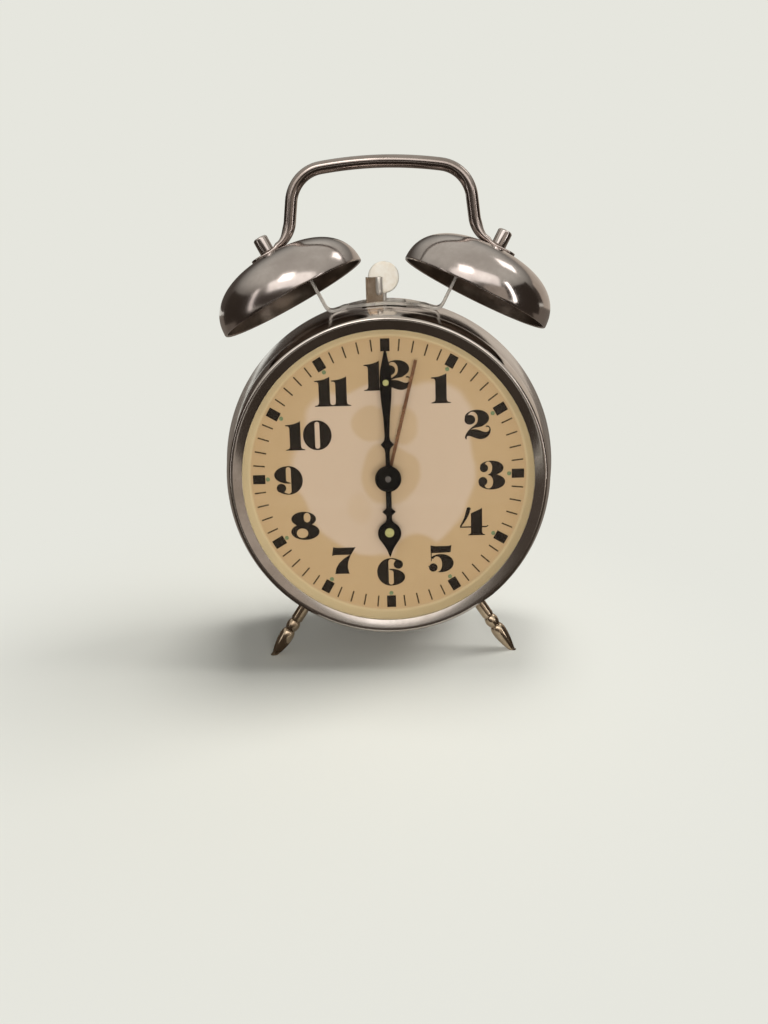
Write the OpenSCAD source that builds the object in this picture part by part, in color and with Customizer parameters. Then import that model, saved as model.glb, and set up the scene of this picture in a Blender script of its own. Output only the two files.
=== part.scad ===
// Twin bell alarm clock: wind-up, on two turned legs, with a carrying handle over the bells.
// Every piece is laid out about the clock's own axis (front towards -Y, dial face at y = 0)
// and the whole clock is then leaned back until its legs and the rear of its case meet the floor.

/* [Case] */
// Radius of the case wall at the dial
case_r = 54.6; // [52.5:0.1:57]
// Outward flare of the case wall, degrees
case_flare = 10.5; // [6:0.5:12]
// Depth from the dial to the rear face of the case
case_depth = 38; // [36:0.5:44]
// Radius of the rounded rear corner
corner_r = 9; // [6:0.5:10]
// Thickness of the case sheet
wall = 0.8; // [0.6:0.05:1]
// Overlap of the case neck inside the bezel
neck_len = 3; // [2:0.1:3.4]
// Width of the opening for hammer and stop lever
slot_w = 15; // [14:0.5:18]
// Inset of the back cover from the case's rear corner
cover_in = 1; // [0.5:0.1:2.8]

/* [Bezel and glass] */
// Inset of the bezel's front rim from the case wall
rim_in = 2.7; // [2:0.1:3.2]
// Distance of the front rim from the dial
rim_y = 7.5; // [7:0.1:9]
// Width of the bezel's front between its rim and its opening
lip_w = 3.5; // [2.9:0.1:4.3]
// Height of the glass dome above its edge
glass_rise = 2.9; // [2.4:0.1:5]
// Thickness of the glass
glass_t = 1.2; // [0.9:0.1:1.4]
// Inset of the flat part of the dial from the bezel's opening
dial_in = 1.6; // [1.4:0.1:2.4]
// Thickness of the dial sheet
dial_t = 0.5; // [0.3:0.05:0.6]

/* [Hands] */
// Gap between the tip of the minute hand and the edge of the dial
minute_gap = 4; // [2.3:0.1:10.8]
// Greatest width of the minute hand's lance
lance_w = 3.9; // [2.5:0.1:5]
// Length of the hour hand
hour_len = 26; // [24:0.1:28]
// Radius of the disc on the hour hand
spade_r = 3.8; // [3:0.1:4.4]
// Gap between the tip of the alarm hand and the edge of the dial
alarm_gap = 7; // [2.8:0.1:16.8]
// Width of the alarm hand
alarm_w = 1.1; // [0.8:0.1:2]
// Thickness of each hand
hand_t = 0.5; // [0.3:0.05:0.6]
// Angle of the alarm hand clockwise from twelve
alarm_at = 14.5; // [0:0.5:359.5]
// Radius of the cap in the middle of the hands
cap_r = 4.35; // [3.4:0.05:5.5]

/* [Bells] */
// Lean of each bell away from the middle, degrees
bell_tilt = 27.5; // [27:0.5:30]
// Distance of the bell rim from the clock's axis
bell_seat = 67.6; // [66.8:0.1:70]
// Radius of a bell
bell_r = 26.85; // [25.5:0.05:27]
// Height of a bell
bell_h = 16.6; // [15.6:0.1:18]
// Thickness of a bell
bell_t = 0.9; // [0.6:0.05:1.2]
// Roundness of the bell, 2 is an ellipse
bell_n = 2.35; // [2:0.05:3]
// Distance of the bells behind the dial
bell_y = 18; // [17:0.5:19]
// Width of the bell bracket strap
strap_w = 8.4; // [7.6:0.1:9]
// Thickness of the bell bracket strap
strap_t = 1.25; // [1:0.05:1.6]
// Radius of a bell nut
nut_r = 2.35; // [2.2:0.05:3]
// Height of a bell nut
nut_h = 5.2; // [4.8:0.1:7]

/* [Handle] */
// Height of the handle above the clock's axis
handle_top = 104.3; // [102:0.1:112]
// Radius of the handle rod
handle_r = 2.1; // [1.8:0.05:2.3]
// Bend radius at the handle's shoulders
shoulder_r = 10; // [8:0.5:11]
// Lean of the handle's sides from upright, degrees
handle_splay = 11; // [8:0.5:14]

/* [Hammer and stop lever] */
// Distance of the hammer disc's middle above the clock's axis
hammer_top = 67.7; // [66.8:0.1:67.8]
// Radius of the hammer disc
hammer_r = 5.3; // [4.6:0.05:5.35]
// Thickness of the hammer disc
hammer_t = 2.4; // [2.2:0.1:3]
// Radius of the hammer's stem
stem_r = 0.9; // [0.7:0.05:0.95]
// Width of the stop lever's tab
tab_w = 5.7; // [4.6:0.1:6]
// Height of the top of the stop lever above the clock's axis
tab_top = 66.4; // [64.5:0.1:68]
// Depth of the folded sides of the tab
tab_fold = 3.4; // [2.4:0.1:3.6]

/* [Legs] */
// Angle of each leg from straight down, degrees
leg_splay = 33.5; // [31:0.5:35]
// Distance of the leg's foot from the clock's axis
leg_reach = 76.7; // [74.5:0.1:79]
// Radius of the plain top of a leg
leg_r = 1.9; // [1.7:0.05:2]
// Radius of the spindle of a leg
spindle_r = 2.15; // [1.9:0.05:2.8]
// Distance of the legs behind the dial
leg_y = 5.5; // [5.2:0.1:6]

/* [Movement] */
// Radius of the movement plates
plate_r = 46; // [45.6:0.1:46.5]
// Thickness of the movement plates
plate_t = 1.2; // [1:0.1:1.3]
// Distance between the movement plates
train_gap = 19.8; // [19.8:0.1:21]
// Tooth module of the winding wheels
m_great = 0.5; // [0.49:0.005:0.5]
// Tooth module of the centre wheel
m_centre = 0.45; // [0.44:0.005:0.455]
// Tooth module of the third wheel
m_third = 0.35; // [0.34:0.005:0.355]
// Tooth module of the fourth wheel
m_fourth = 0.3; // [0.29:0.005:0.305]
// Tooth module of the cannon pinion
m_cannon = 0.4; // [0.39:0.005:0.41]
// Tooth module of the alarm setting wheel
m_alarm = 0.5; // [0.49:0.005:0.51]
// Thickness of the wheels
wheel_t = 1; // [0.8:0.05:1.1]
// Radius of the balance wheel
balance_r = 8.2; // [7.4:0.1:8.4]
// Outer radius of the time mainspring
time_spring_r = 13; // [11.5:0.1:13.4]
// Outer radius of the alarm mainspring
alarm_spring_r = 12; // [10.5:0.1:13]

/* [Keys and knobs] */
// Reach of a winding key's wings
key_r = 12; // [9:0.1:12.6]
// Length of a winding key
key_len = 11; // [9:0.1:13]
// Thickness of a winding key
key_t = 1.6; // [1.2:0.1:2.4]
// Radius of the hand setting knob
set_knob_r = 5; // [4:0.1:5.6]
// Radius of the alarm setting knob
alarm_knob_r = 4.4; // [3.6:0.1:5.4]
// Length of the knobs
knob_len = 5; // [4:0.1:7]

/* [Fits] */
// Running clearance of an arbor in its hole
run = 0.05; // [0.03:0.01:0.08]
// Clearance of pieces pressed on one another
press = 0.02; // [0.01:0.005:0.03]
// Gap between pieces that lie on one another
seat = 0.05; // [0.03:0.01:0.08]

/* [Hidden] */
$fn = 96;
nickel = [0.72, 0.70, 0.66];
steel = [0.80, 0.80, 0.79];
brass = [0.78, 0.62, 0.32];
bronze = [0.45, 0.38, 0.30];
blacked = [0.11, 0.09, 0.08];
cream = [0.78, 0.70, 0.56];
clear = [0.85, 0.90, 0.90, 0.35];
blued = [0.20, 0.24, 0.34];

// Case profile: a flaring wall that is tangent to the rounded rear corner.
corner_y = case_depth - corner_r;
corner_c = case_r + tan(case_flare) * (corner_y - corner_r * sin(case_flare)) - corner_r * cos(case_flare);
function case_at(y) = case_r + tan(case_flare) * y;
function corner_pt(r, a) = [corner_c + r * cos(a), corner_y + r * sin(a)];
corner_steps = 8;
function corner_a(i) = -case_flare + (90 + case_flare) * i / corner_steps;
inner_cut = wall / cos(case_flare);
neck_r = case_r - 1.05;
step_y = 1.4;
dial_seat_y = dial_t + seat;
dial_seat_r = 42;
cover_y = case_depth + seat;
cover_r = corner_c - cover_in;
cover_t = 0.8;
cover_back = cover_y + cover_t;

// Lean: the floor touches the rear corner and passes through the foot of each leg.
lean_a = leg_reach * cos(leg_splay) - corner_c;
lean_b = corner_y - leg_y;
lean = acos(corner_r / norm([lean_a, lean_b])) - atan2(lean_b, lean_a);
floor_z = corner_c * cos(lean) + corner_y * sin(lean) + corner_r;

// Bezel and glass stations, measured forward from the dial.
rim_r = case_r - rim_in;
lip_r = rim_r - lip_w;
dial_r = lip_r - dial_in;
lip_t = 0.45;
lip_front = -(rim_y - 0.6);
glass_seat_y = lip_front + lip_t + seat;
glass_edge_r = lip_r - 0.2;
glass_flange_r = lip_r + 2.2;
glass_back = glass_seat_y + glass_t;
glass_sphere_r = (glass_edge_r * glass_edge_r + glass_rise * glass_rise) / (2 * glass_rise);
glass_top = glass_seat_y - 0.2 - glass_rise;
function dome_y(r) = glass_top + glass_sphere_r - sqrt(glass_sphere_r * glass_sphere_r - r * r);
dome_steps = 12;
skirt_y = 1.2;
skirt_in = neck_r + 0.1;
bezel_pts = [
    [lip_r, lip_front],
    [rim_r - 0.5, -rim_y + 0.08],
    [rim_r, -rim_y],
    [rim_r + 0.45, -rim_y + 0.2],
    [rim_r + 0.9, -rim_y + 1],
    [case_r - 0.85, -rim_y * 0.5],
    [case_r - 0.25, -rim_y * 0.2],
    [case_r + 0.12, 0.3],
    [case_r + 0.25, skirt_y],
    [skirt_in, skirt_y],
    [skirt_in, -neck_len - 0.2],
    [glass_flange_r + 0.3, -neck_len - 2],
    [glass_flange_r + 0.3, lip_front + lip_t],
    [lip_r, lip_front + lip_t]
];

// Stack of the hands in front of the dial and the pipes they sit on.
minute_len = dial_r - minute_gap;
alarm_len = dial_r - alarm_gap;
alarm_hand_y = -2.2;
hour_hand_y = -3.9;
minute_hand_y = -5.45;
cap_y = minute_hand_y - 1;
post_tip = cap_y - 0.65;
arbor_r = 0.95;
cannon_r = 1.35;
pipe_gap = 0.08;
hour_pipe_in = cannon_r + pipe_gap;
hour_pipe_r = hour_pipe_in + 0.5;
alarm_pipe_in = hour_pipe_r + pipe_gap;
alarm_pipe_r = alarm_pipe_in + 0.55;
dial_hole = alarm_pipe_r + 0.4;

// Depths inside the movement, from the front plate backwards.
front_y = 6;
train_y = front_y + plate_t;
back_y = train_y + train_gap;
back_out = back_y + plate_t;
centre_y = train_y + 1.2;
third_y = train_y + 3.4;
great_y = train_y + 5.4;
star_y = train_y + 7.8;
fourth_y = train_y + 8.4;
time_spring_y = train_y + 8;
alarm_great_y = train_y + 11;
alarm_spring_y = train_y + 13.1;
escape_y = train_y + 11.8;
pallet_y = train_y + 13.2;
balance_y = train_y + 14.4;
hair_y = train_y + 16.6;
ratchet_y = train_y + 17.4;
great_t = 1.4;
key_y = cover_back + 2.2;

// Wheel positions as seen from the front, in x and z, from the tooth counts.
n_great = 64;
n_centre_p = 10;
n_centre = 60;
n_third_p = 8;
n_third = 64;
n_fourth_p = 8;
n_fourth = 64;
n_escape_p = 8;
n_cannon = 12;
n_minute = 36;
n_minute_p = 10;
n_hour = 40;
n_alarm = 48;
n_alarm_p = 14;
n_star_p = 8;
function polar(d, a) = [d * cos(a), d * sin(a)];
function spacing(m, a, b) = m * (a + b) / 2;
great_dir = 18;
great_d = spacing(m_great, n_great, n_centre_p);
time_c = polar(great_d, great_dir);
alarm_c = polar(great_d, 180 - great_dir);
third_dir = -115;
third_c = polar(spacing(m_centre, n_centre, n_third_p), third_dir);
fourth_dir = -10;
fourth_c = third_c + polar(spacing(m_third, n_third, n_fourth_p), fourth_dir);
escape_dir = -75;
escape_c = fourth_c + polar(spacing(m_fourth, n_fourth, n_escape_p), escape_dir);
pallet_dir = 172;
pallet_c = escape_c + polar(8.3, pallet_dir);
balance_dir = 190;
balance_c = pallet_c + polar(10, balance_dir);
minute_dir = 60;
minute_d = spacing(m_cannon, n_cannon, n_minute);
minute_c = polar(minute_d, minute_dir);
m_hour = 2 * minute_d / (n_minute_p + n_hour);
set_dir = 90;
set_c = polar(spacing(m_alarm, n_alarm, n_alarm_p), set_dir);
star_dir = 55;
star_c = alarm_c + polar(spacing(m_great, n_great, n_star_p), star_dir);
hammer_c = [0, 26];
stop_c = [-4.5, 31];
tab_c = -3.25;
star_r = 6.2;
escape_r = 6;
pillar_at = 29;
post_r = 44;
regulator_len = 12;
time_r = 1.6;
function mesh(dir, phase, na, nb) = dir + 180 - (0.5 - (dir - phase) * na / 360) * 360 / nb;

// Bell and bracket stations along the bell's own axis.
crown_h = bell_h * pow(1 - pow(5.5 / bell_r, bell_n), 1 / bell_n);
crown_z = bell_seat + crown_h;
stud_r = 1.5;
riser_x = 8.4;
foot_z = crown_z - bell_t - 2.2 - strap_t;
eye_t = 1.3;
eye_z = crown_z + seat;
nut_z = eye_z + eye_t + seat;
strap_y0 = bell_y - strap_w / 2;
strap_y1 = bell_y + strap_w / 2;
strap_half = bell_tilt - asin((riser_x - strap_t / 2) / (case_at(bell_y) + strap_t));
rivet_a = 13.5;
rivet_r = 1;

// Bell profile: points of a rounded dome up to the flat land at its crown.
bell_steps = 14;
function bell_u(i) = i * 84 / bell_steps;
function dome_pts(r, h) = [
    for (i = [0 : bell_steps])
        let (p = [r * pow(cos(bell_u(i)), 2 / bell_n), h * pow(sin(bell_u(i)), 2 / bell_n)])
        if (p[0] > 5.6 && p[1] < h - (bell_h - crown_h)) p
];

// Handle path: headings and lengths run from the top of the arch to the eye on the bell.
arch_r = 140;
arch_a = 8.2;
foot_r = 5;
rod_lift = 0.2;
rod_end = [-4.2, crown_z + handle_r + seat + rod_lift];
side_a = 90 - handle_splay;
foot_a = bell_tilt;
rod_goal = [
    rod_end[0] * cos(bell_tilt) + rod_end[1] * sin(bell_tilt),
    rod_end[1] * cos(bell_tilt) - rod_end[0] * sin(bell_tilt)
];
arch_end = [arch_r * sin(arch_a), handle_top - arch_r * (1 - cos(arch_a))];
turn_s = shoulder_r * [sin(side_a) - sin(arch_a), cos(side_a) - cos(arch_a)];
turn_f = foot_r * [sin(side_a) - sin(foot_a), cos(side_a) - cos(foot_a)];
rest = rod_goal - arch_end - turn_s - turn_f;
path_d = cos(arch_a) * sin(side_a) - sin(arch_a) * cos(side_a);
arch_run = (rest[0] * sin(side_a) + rest[1] * cos(side_a)) / path_d;
side_run = (-rest[1] * cos(arch_a) - rest[0] * sin(arch_a)) / path_d;
shoulder_at = arch_end + arch_run * [cos(arch_a), -sin(arch_a)];
side_at = shoulder_at + turn_s;
foot_at = side_at + side_run * [cos(side_a), -sin(side_a)];

// Standing position: the middle of the outline's box sits over the origin.
key_end = key_y + key_len;
reach_back = key_end * cos(lean) + (time_c[1] + key_t / 2) * sin(lean);
reach_front = min([for (p = bezel_pts) p[1] * cos(lean) - p[0] * sin(lean)]);
bell_sweep = norm([cos(lean), sin(bell_tilt) * sin(lean)]);
reach_bell = max([
    for (p = dome_pts(bell_r, bell_h))
        bell_y * cos(lean) + (bell_seat + p[1]) * cos(bell_tilt) * sin(lean) + p[0] * bell_sweep
]);
frame_y = (max(reach_back, reach_bell) + reach_front) / 2;

module stand() {
    translate([0, -frame_y, floor_z])
        rotate([-lean, 0, 0])
            children();
}

// A round bar along the clock's axis.
module rod(c, y0, y1, r) {
    translate([c[0], y0, c[1]])
        rotate([-90, 0, 0])
            cylinder(r = r, h = y1 - y0);
}

// A flat piece drawn as seen from the front.
module sheet(y0, t) {
    translate([0, y0 + t, 0])
        rotate([90, 0, 0])
            linear_extrude(height = t)
                children();
}

// A turned piece from a profile of radius and depth.
module spun(pts) {
    rotate([-90, 0, 0])
        rotate_extrude()
            polygon(pts);
}

module side(s) {
    rotate([0, s * bell_tilt, 0])
        translate([0, bell_y, 0])
            mirror([s < 0 ? 1 : 0, 0, 0])
                children();
}

module leg_frame(s) {
    rotate([0, s * (180 - leg_splay), 0])
        translate([0, leg_y, 0])
            children();
}

module case_core(extra) {
    spun([
        [0, -12],
        [case_at(-12) + extra, -12],
        [case_at(corner_y) + extra, corner_y],
        [0, corner_y]
    ]);
}

// Tooth outline: short straight-sided teeth with room between the flanks.
module gear2d(n, m, phase) {
    r = m * n / 2;
    polygon([
        for (i = [0 : n - 1])
            for (k = [0 : 3])
                let (
                    w = (k == 0 ? -0.28 : k == 1 ? -0.13 : k == 2 ? 0.13 : 0.28),
                    q = (k == 0 || k == 3) ? r - 0.8 * m : r + 0.55 * m,
                    a = phase + (i + w) * 360 / n
                )
                [q * cos(a), q * sin(a)]
    ]);
}

module gear(c, y0, t, n, m, phase) {
    sheet(y0, t)
        translate(c)
            gear2d(n, m, phase);
}

// A flat spiral strip.
module spiral(c, y0, t, r0, r1, turns, thick) {
    steps = turns * 20;
    sheet(y0, t)
        translate(c)
            polygon(concat(
                [for (i = [0 : steps]) polar(r0 + (r1 - r0) * i / steps - thick / 2, i * 18)],
                [for (i = [steps : -1 : 0]) polar(r0 + (r1 - r0) * i / steps + thick / 2, i * 18)]
            ));
}

module slot_cut(w, y0, y1) {
    translate([-w / 2, y0, 40])
        cube([w, y1 - y0, 30]);
}

// Rivets stand square to the flaring wall on each side of the opening.
module rivet_frame(s) {
    rotate([0, s * rivet_a, 0])
        translate([0, bell_y, case_at(bell_y)])
            rotate([case_flare, 0, 0])
                children();
}

function plate_holes() = [
    [[0, 0], arbor_r],
    [time_c, time_r],
    [alarm_c, time_r],
    [third_c, 0.8],
    [fourth_c, 0.7],
    [escape_c, 0.6],
    [pallet_c, 0.5],
    [balance_c, 0.6],
    [set_c, 1],
    [star_c, 0.8],
    [hammer_c, 1]
];

function pillar_pts() = [for (sx = [-1, 1]) for (sz = [-1, 1]) pillar_at * [sx, sz]];
function post_pts() = [for (a = [90, 210, 330]) polar(post_r, a)];
function cover_pts() = [[32, -14], [-32, -14], [0, 30.5]];

module plate2d() {
    difference() {
        circle(r = plate_r);
        for (h = plate_holes())
            translate(h[0])
                circle(r = h[1] + run);
        for (p = pillar_pts())
            translate(p)
                circle(r = 1.5 + press);
    }
}

module case_shell() {
    outer = [for (i = [0 : corner_steps]) corner_pt(corner_r, corner_a(i))];
    inner = [for (i = [corner_steps : -1 : 0]) corner_pt(corner_r - wall, corner_a(i))];
    front = step_y + wall;
    color(nickel) stand() difference() {
        spun(concat(
            [[neck_r, -neck_len], [neck_r, step_y], [case_at(step_y), step_y]],
            outer,
            [[corner_c - 5, case_depth], [corner_c - 5, case_depth - wall]],
            inner,
            [
                [case_at(front) - inner_cut, front],
                [neck_r - wall, front],
                [neck_r - wall, dial_seat_y + wall],
                [dial_seat_r, dial_seat_y + wall],
                [dial_seat_r, dial_seat_y],
                [neck_r - wall, dial_seat_y],
                [neck_r - wall, -neck_len]
            ]
        ));
        slot_cut(slot_w, 9.2, 20.6);
        for (s = [-1, 1]) {
            leg_frame(s)
                translate([0, 0, case_at(leg_y) - 6])
                    cylinder(r = stud_r + press, h = 10);
            rivet_frame(s)
                translate([0, 0, -4])
                    cylinder(r = rivet_r + press, h = 8);
        }
        for (p = post_pts())
            rod(p, -1, 4, 1 + press);
    }
}

module bezel() {
    color(nickel) stand() spun(bezel_pts);
}

module glass() {
    inner_r = glass_edge_r - 0.3;
    color(clear) stand() spun(concat(
        [for (i = [0 : dome_steps]) let (r = glass_edge_r * i / dome_steps) [r, dome_y(r)]],
        [
            [glass_edge_r, glass_seat_y],
            [glass_flange_r, glass_seat_y],
            [glass_flange_r, glass_back],
            [inner_r, glass_back]
        ],
        [for (i = [dome_steps : -1 : 0]) let (r = inner_r * i / dome_steps) [r, dome_y(r) + glass_t]]
    ));
}

module dial() {
    rim_front = glass_back + seat;
    color(cream) stand() spun([
        [dial_hole, 0],
        [dial_r, 0],
        [lip_r - 0.05, rim_front],
        [lip_r + 0.6, rim_front],
        [dial_r + 0.7, dial_t],
        [dial_hole, dial_t]
    ]);
}

module back_cover() {
    color(nickel) stand() difference() {
        union() {
            sheet(cover_y, cover_t)
                circle(r = cover_r);
            sheet(cover_y + cover_t - 0.05, 0.8) difference() {
                circle(r = cover_r);
                circle(r = cover_r - 1.2);
            }
        }
        rod([0, 0], cover_y - 1, cover_back + 1, arbor_r + 0.5);
        rod(time_c, cover_y - 1, cover_back + 1, time_r + 0.5);
        rod(alarm_c, cover_y - 1, cover_back + 1, time_r + 0.5);
        rod(set_c, cover_y - 1, cover_back + 1, 1.5);
        for (p = cover_pts())
            rod(p, cover_y - 1, cover_back + 1, 1.35);
        translate([balance_c[0], cover_y - 1, balance_c[1]])
            rotate([-90, 0, 0])
                rotate([0, 0, 90 - 28])
                    rotate_extrude(angle = 56)
                        translate([regulator_len - 1.1, 0])
                            square([2.2, cover_t + 2]);
    }
}

module cover_screws() {
    color(steel) stand() for (p = cover_pts()) difference() {
        union() {
            rod(p, cover_back + seat, cover_back + seat + 1.3, 2.4);
            rod(p, cover_back - 5, cover_back + 0.5, 1.25);
        }
        translate([p[0] - 3, cover_back + seat + 0.7, p[1] - 0.3])
            cube([6, 2, 0.6]);
    }
}

module leg_body(s) {
    top = case_at(leg_y);
    tip = leg_reach + 1.5;
    difference() {
        leg_frame(s) union() {
            translate([0, 0, top - 5])
                cylinder(r = stud_r, h = 8);
            difference() {
                rotate_extrude() polygon([
                    [0, top - 2],
                    [leg_r, top - 2],
                    [leg_r, leg_reach - 15.4],
                    [leg_r * 0.76, leg_reach - 15],
                    [leg_r * 0.76, leg_reach - 14.7],
                    [leg_r * 0.95, leg_reach - 14.3],
                    [leg_r * 1.06, leg_reach - 13.4],
                    [leg_r * 1.08, leg_reach - 12.6],
                    [leg_r * 0.97, leg_reach - 11.5],
                    [leg_r * 0.78, leg_reach - 11.1],
                    [leg_r * 0.78, leg_reach - 10.7],
                    [spindle_r * 0.9, leg_reach - 10.2],
                    [spindle_r, leg_reach - 9.2],
                    [spindle_r * 0.98, leg_reach - 7.6],
                    [spindle_r * 0.86, leg_reach - 5.4],
                    [spindle_r * 0.66, leg_reach - 3],
                    [spindle_r * 0.45, leg_reach - 1.2],
                    [spindle_r * 0.35, leg_reach - 0.5],
                    [spindle_r * 0.33, tip],
                    [0, tip]
                ]);
                translate([0, -leg_y, 0])
                    case_core(seat);
            }
        }
        rotate([lean, 0, 0])
            translate([-100, -100, -floor_z - 50])
                cube([200, 200, 50]);
    }
}

module left_leg() {
    color(bronze) stand() leg_body(-1);
}

module right_leg() {
    color(bronze) stand() leg_body(1);
}

module leg_nuts() {
    top = case_at(leg_y) - 1.45;
    color(steel) stand() for (s = [-1, 1]) leg_frame(s) difference() {
        translate([0, 0, top - 2.2])
            cylinder(r = 2.5, h = 2.2, $fn = 6);
        translate([0, 0, top - 3])
            cylinder(r = stud_r + press, h = 4);
    }
}

module bell_bracket() {
    lift = seat;
    color(steel) stand() difference() {
        union() {
            rotate([-90, 0, 0])
                rotate([0, 0, -90 - strap_half])
                    rotate_extrude(angle = 2 * strap_half)
                        polygon([
                            [case_at(strap_y0) + lift, strap_y0],
                            [case_at(strap_y1) + lift, strap_y1],
                            [case_at(strap_y1) + lift + strap_t, strap_y1],
                            [case_at(strap_y0) + lift + strap_t, strap_y0]
                        ]);
            for (s = [-1, 1]) side(s) {
                translate([-riser_x - strap_t / 2, -strap_w / 2, case_r])
                    cube([strap_t, strap_w, foot_z + strap_t - case_r]);
                translate([-riser_x - strap_t / 2, -strap_w / 2, foot_z])
                    cube([riser_x + strap_t / 2 + 4.2, strap_w, strap_t]);
            }
        }
        case_core(lift);
        slot_cut(10.4, bell_y - 2.4, bell_y + 2.4);
        for (s = [-1, 1]) {
            side(s)
                translate([0, 0, foot_z - 1])
                    cylinder(r = stud_r + press, h = strap_t + 2);
            rivet_frame(s)
                translate([0, 0, -4])
                    cylinder(r = rivet_r + press, h = 8);
        }
    }
}

module bracket_rivets() {
    top = (seat + strap_t) * cos(case_flare) + 0.08;
    color(steel) stand() for (s = [-1, 1]) rivet_frame(s) {
        translate([0, 0, top])
            cylinder(r1 = 1.9, r2 = 1.3, h = 0.7);
        translate([0, 0, -wall - 0.2])
            cylinder(r = rivet_r, h = top + wall + 0.6);
        translate([0, 0, -wall - 0.8])
            cylinder(r = 1.7, h = 0.7);
    }
}

module bell(s) {
    skin = dome_pts(bell_r, bell_h);
    lining = dome_pts(bell_r - bell_t, bell_h - bell_t);
    side(s) translate([0, 0, bell_seat]) rotate_extrude() polygon(concat(
        skin,
        [[5.5, crown_h], [stud_r + 0.1, crown_h], [stud_r + 0.1, crown_h - bell_t], [5.5, crown_h - bell_t]],
        [for (i = [len(lining) - 1 : -1 : 0]) lining[i]]
    ));
}

module left_bell() {
    color(nickel) stand() bell(-1);
}

module right_bell() {
    color(nickel) stand() bell(1);
}

module bell_studs() {
    color(steel) stand() for (s = [-1, 1]) side(s) {
        translate([0, 0, foot_z - seat - 1.7])
            cylinder(r = 2.8, h = 1.7, $fn = 6);
        translate([0, 0, foot_z - 0.5])
            cylinder(r = stud_r, h = nut_z + nut_h - 1 - foot_z);
        translate([0, 0, foot_z - seat - 0.1])
            cylinder(r = stud_r, h = 1);
    }
}

module bell_spacers() {
    z0 = foot_z + strap_t + seat;
    z1 = crown_z - bell_t - seat;
    color(steel) stand() for (s = [-1, 1]) side(s) difference() {
        translate([0, 0, z0])
            cylinder(r = 3, h = z1 - z0);
        translate([0, 0, z0 - 1])
            cylinder(r = stud_r + 0.1, h = z1 - z0 + 2);
    }
}

module bell_nuts() {
    color(nickel) stand() for (s = [-1, 1]) side(s) difference() {
        rotate_extrude() polygon([
            [0, nut_z],
            [nut_r - 0.15, nut_z],
            [nut_r, nut_z + 0.2],
            [nut_r, nut_z + nut_h - 0.7],
            [nut_r * 0.9, nut_z + nut_h - 0.3],
            [nut_r * 0.62, nut_z + nut_h - 0.06],
            [0, nut_z + nut_h]
        ]);
        translate([0, 0, nut_z - 1])
            cylinder(r = stud_r + press, h = nut_h + 0.3);
    }
}

// A bend in the handle's plane: start point, start heading below level, signed turn, bend radius.
// The bends are a hair fuller than the straight runs, which reach a little way into them.
swell = 0.03;
tuck = 0.4;
module bend(p, a0, turn, r) {
    s = turn > 0 ? 1 : -1;
    c = p + s * r * [-sin(a0), -cos(a0)];
    translate([c[0], 0, c[1]])
        rotate([90, 0, 0])
            rotate([0, 0, s > 0 ? 90 - a0 - turn : -90 - a0])
                rotate_extrude(angle = abs(turn))
                    translate([r, 0])
                        circle(r = handle_r + swell, $fn = 48);
}

module bar(p, a, len) {
    translate([p[0], 0, p[1]])
        rotate([0, 90 + a, 0])
            translate([0, 0, -tuck])
                cylinder(r = handle_r, h = len + 2 * tuck, $fn = 48);
}

module handle() {
    color(nickel) stand() union() {
        translate([0, bell_y, 0])
            bend([-arch_end[0], arch_end[1]], -arch_a, 2 * arch_a, arch_r);
        for (s = [-1, 1]) {
            translate([0, bell_y, 0]) mirror([s < 0 ? 1 : 0, 0, 0]) {
                bar(arch_end, arch_a, arch_run);
                bend(shoulder_at, arch_a, side_a - arch_a, shoulder_r);
                bar(side_at, side_a, side_run);
                bend(foot_at, side_a, foot_a - side_a, foot_r);
                bar(rod_goal, foot_a, 0.3);
            }
            side(s) translate([0, 0, eye_z]) linear_extrude(height = eye_t) difference() {
                union() {
                    translate([1.6, 0])
                        circle(r = 3.6);
                    translate([-8, -2.6])
                        square([9, 5.2]);
                }
                circle(r = stud_r + 0.1);
            }
        }
    }
}

module hammer_head() {
    color(steel) stand() difference() {
        rod([hammer_c[0], hammer_top], bell_y - hammer_t / 2, bell_y + hammer_t / 2, hammer_r);
        translate([hammer_c[0], bell_y, hammer_top - hammer_r - 1])
            cylinder(r = stem_r + press, h = 4.2);
    }
}

module hammer_arm() {
    pin_dir = atan2(star_c[1] - hammer_c[1], star_c[0] - hammer_c[0]);
    color(steel) stand() union() {
        rod(hammer_c, front_y, back_out, 1);
        translate([hammer_c[0], bell_y, hammer_c[1]])
            cylinder(r = stem_r, h = hammer_top - hammer_r + 3 - hammer_c[1]);
        rod(hammer_c, bell_y - 1.8, bell_y + 1.8, 1.7);
        rod(hammer_c, star_y, star_y + wheel_t, 2.4);
        for (k = [-50, 50])
            rod(hammer_c + polar(2, pin_dir + k), star_y - 1.4, star_y + 0.5, 0.3);
    }
}

module stop_lever() {
    y0 = train_y + 2.8;
    low = tab_top - 7.5;
    color(steel) stand() difference() {
        union() {
            sheet(y0, 1) union() {
                translate(stop_c)
                    circle(r = 3);
                polygon([
                    [stop_c[0] - 2.2, stop_c[1]],
                    [stop_c[0] + 2.2, stop_c[1]],
                    [tab_c + 2.2, low + 1],
                    [tab_c - 2.2, low + 1]
                ]);
                translate([tab_c - tab_w / 2, low])
                    square([tab_w, tab_top - low]);
            }
            for (x = [tab_c - tab_w / 2, tab_c + tab_w / 2 - 0.9])
                translate([x, y0, low])
                    cube([0.9, tab_fold, tab_top - low]);
            translate([tab_c - tab_w / 2, y0, tab_top - 0.9])
                cube([tab_w, tab_fold, 0.9]);
        }
        rod(stop_c, y0 - 1, y0 + 2, 1.2 + run);
    }
}

module left_half(pts) {
    polygon(concat(pts, [for (i = [len(pts) - 1 : -1 : 0]) [-pts[i][0], pts[i][1]]]));
}

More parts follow.
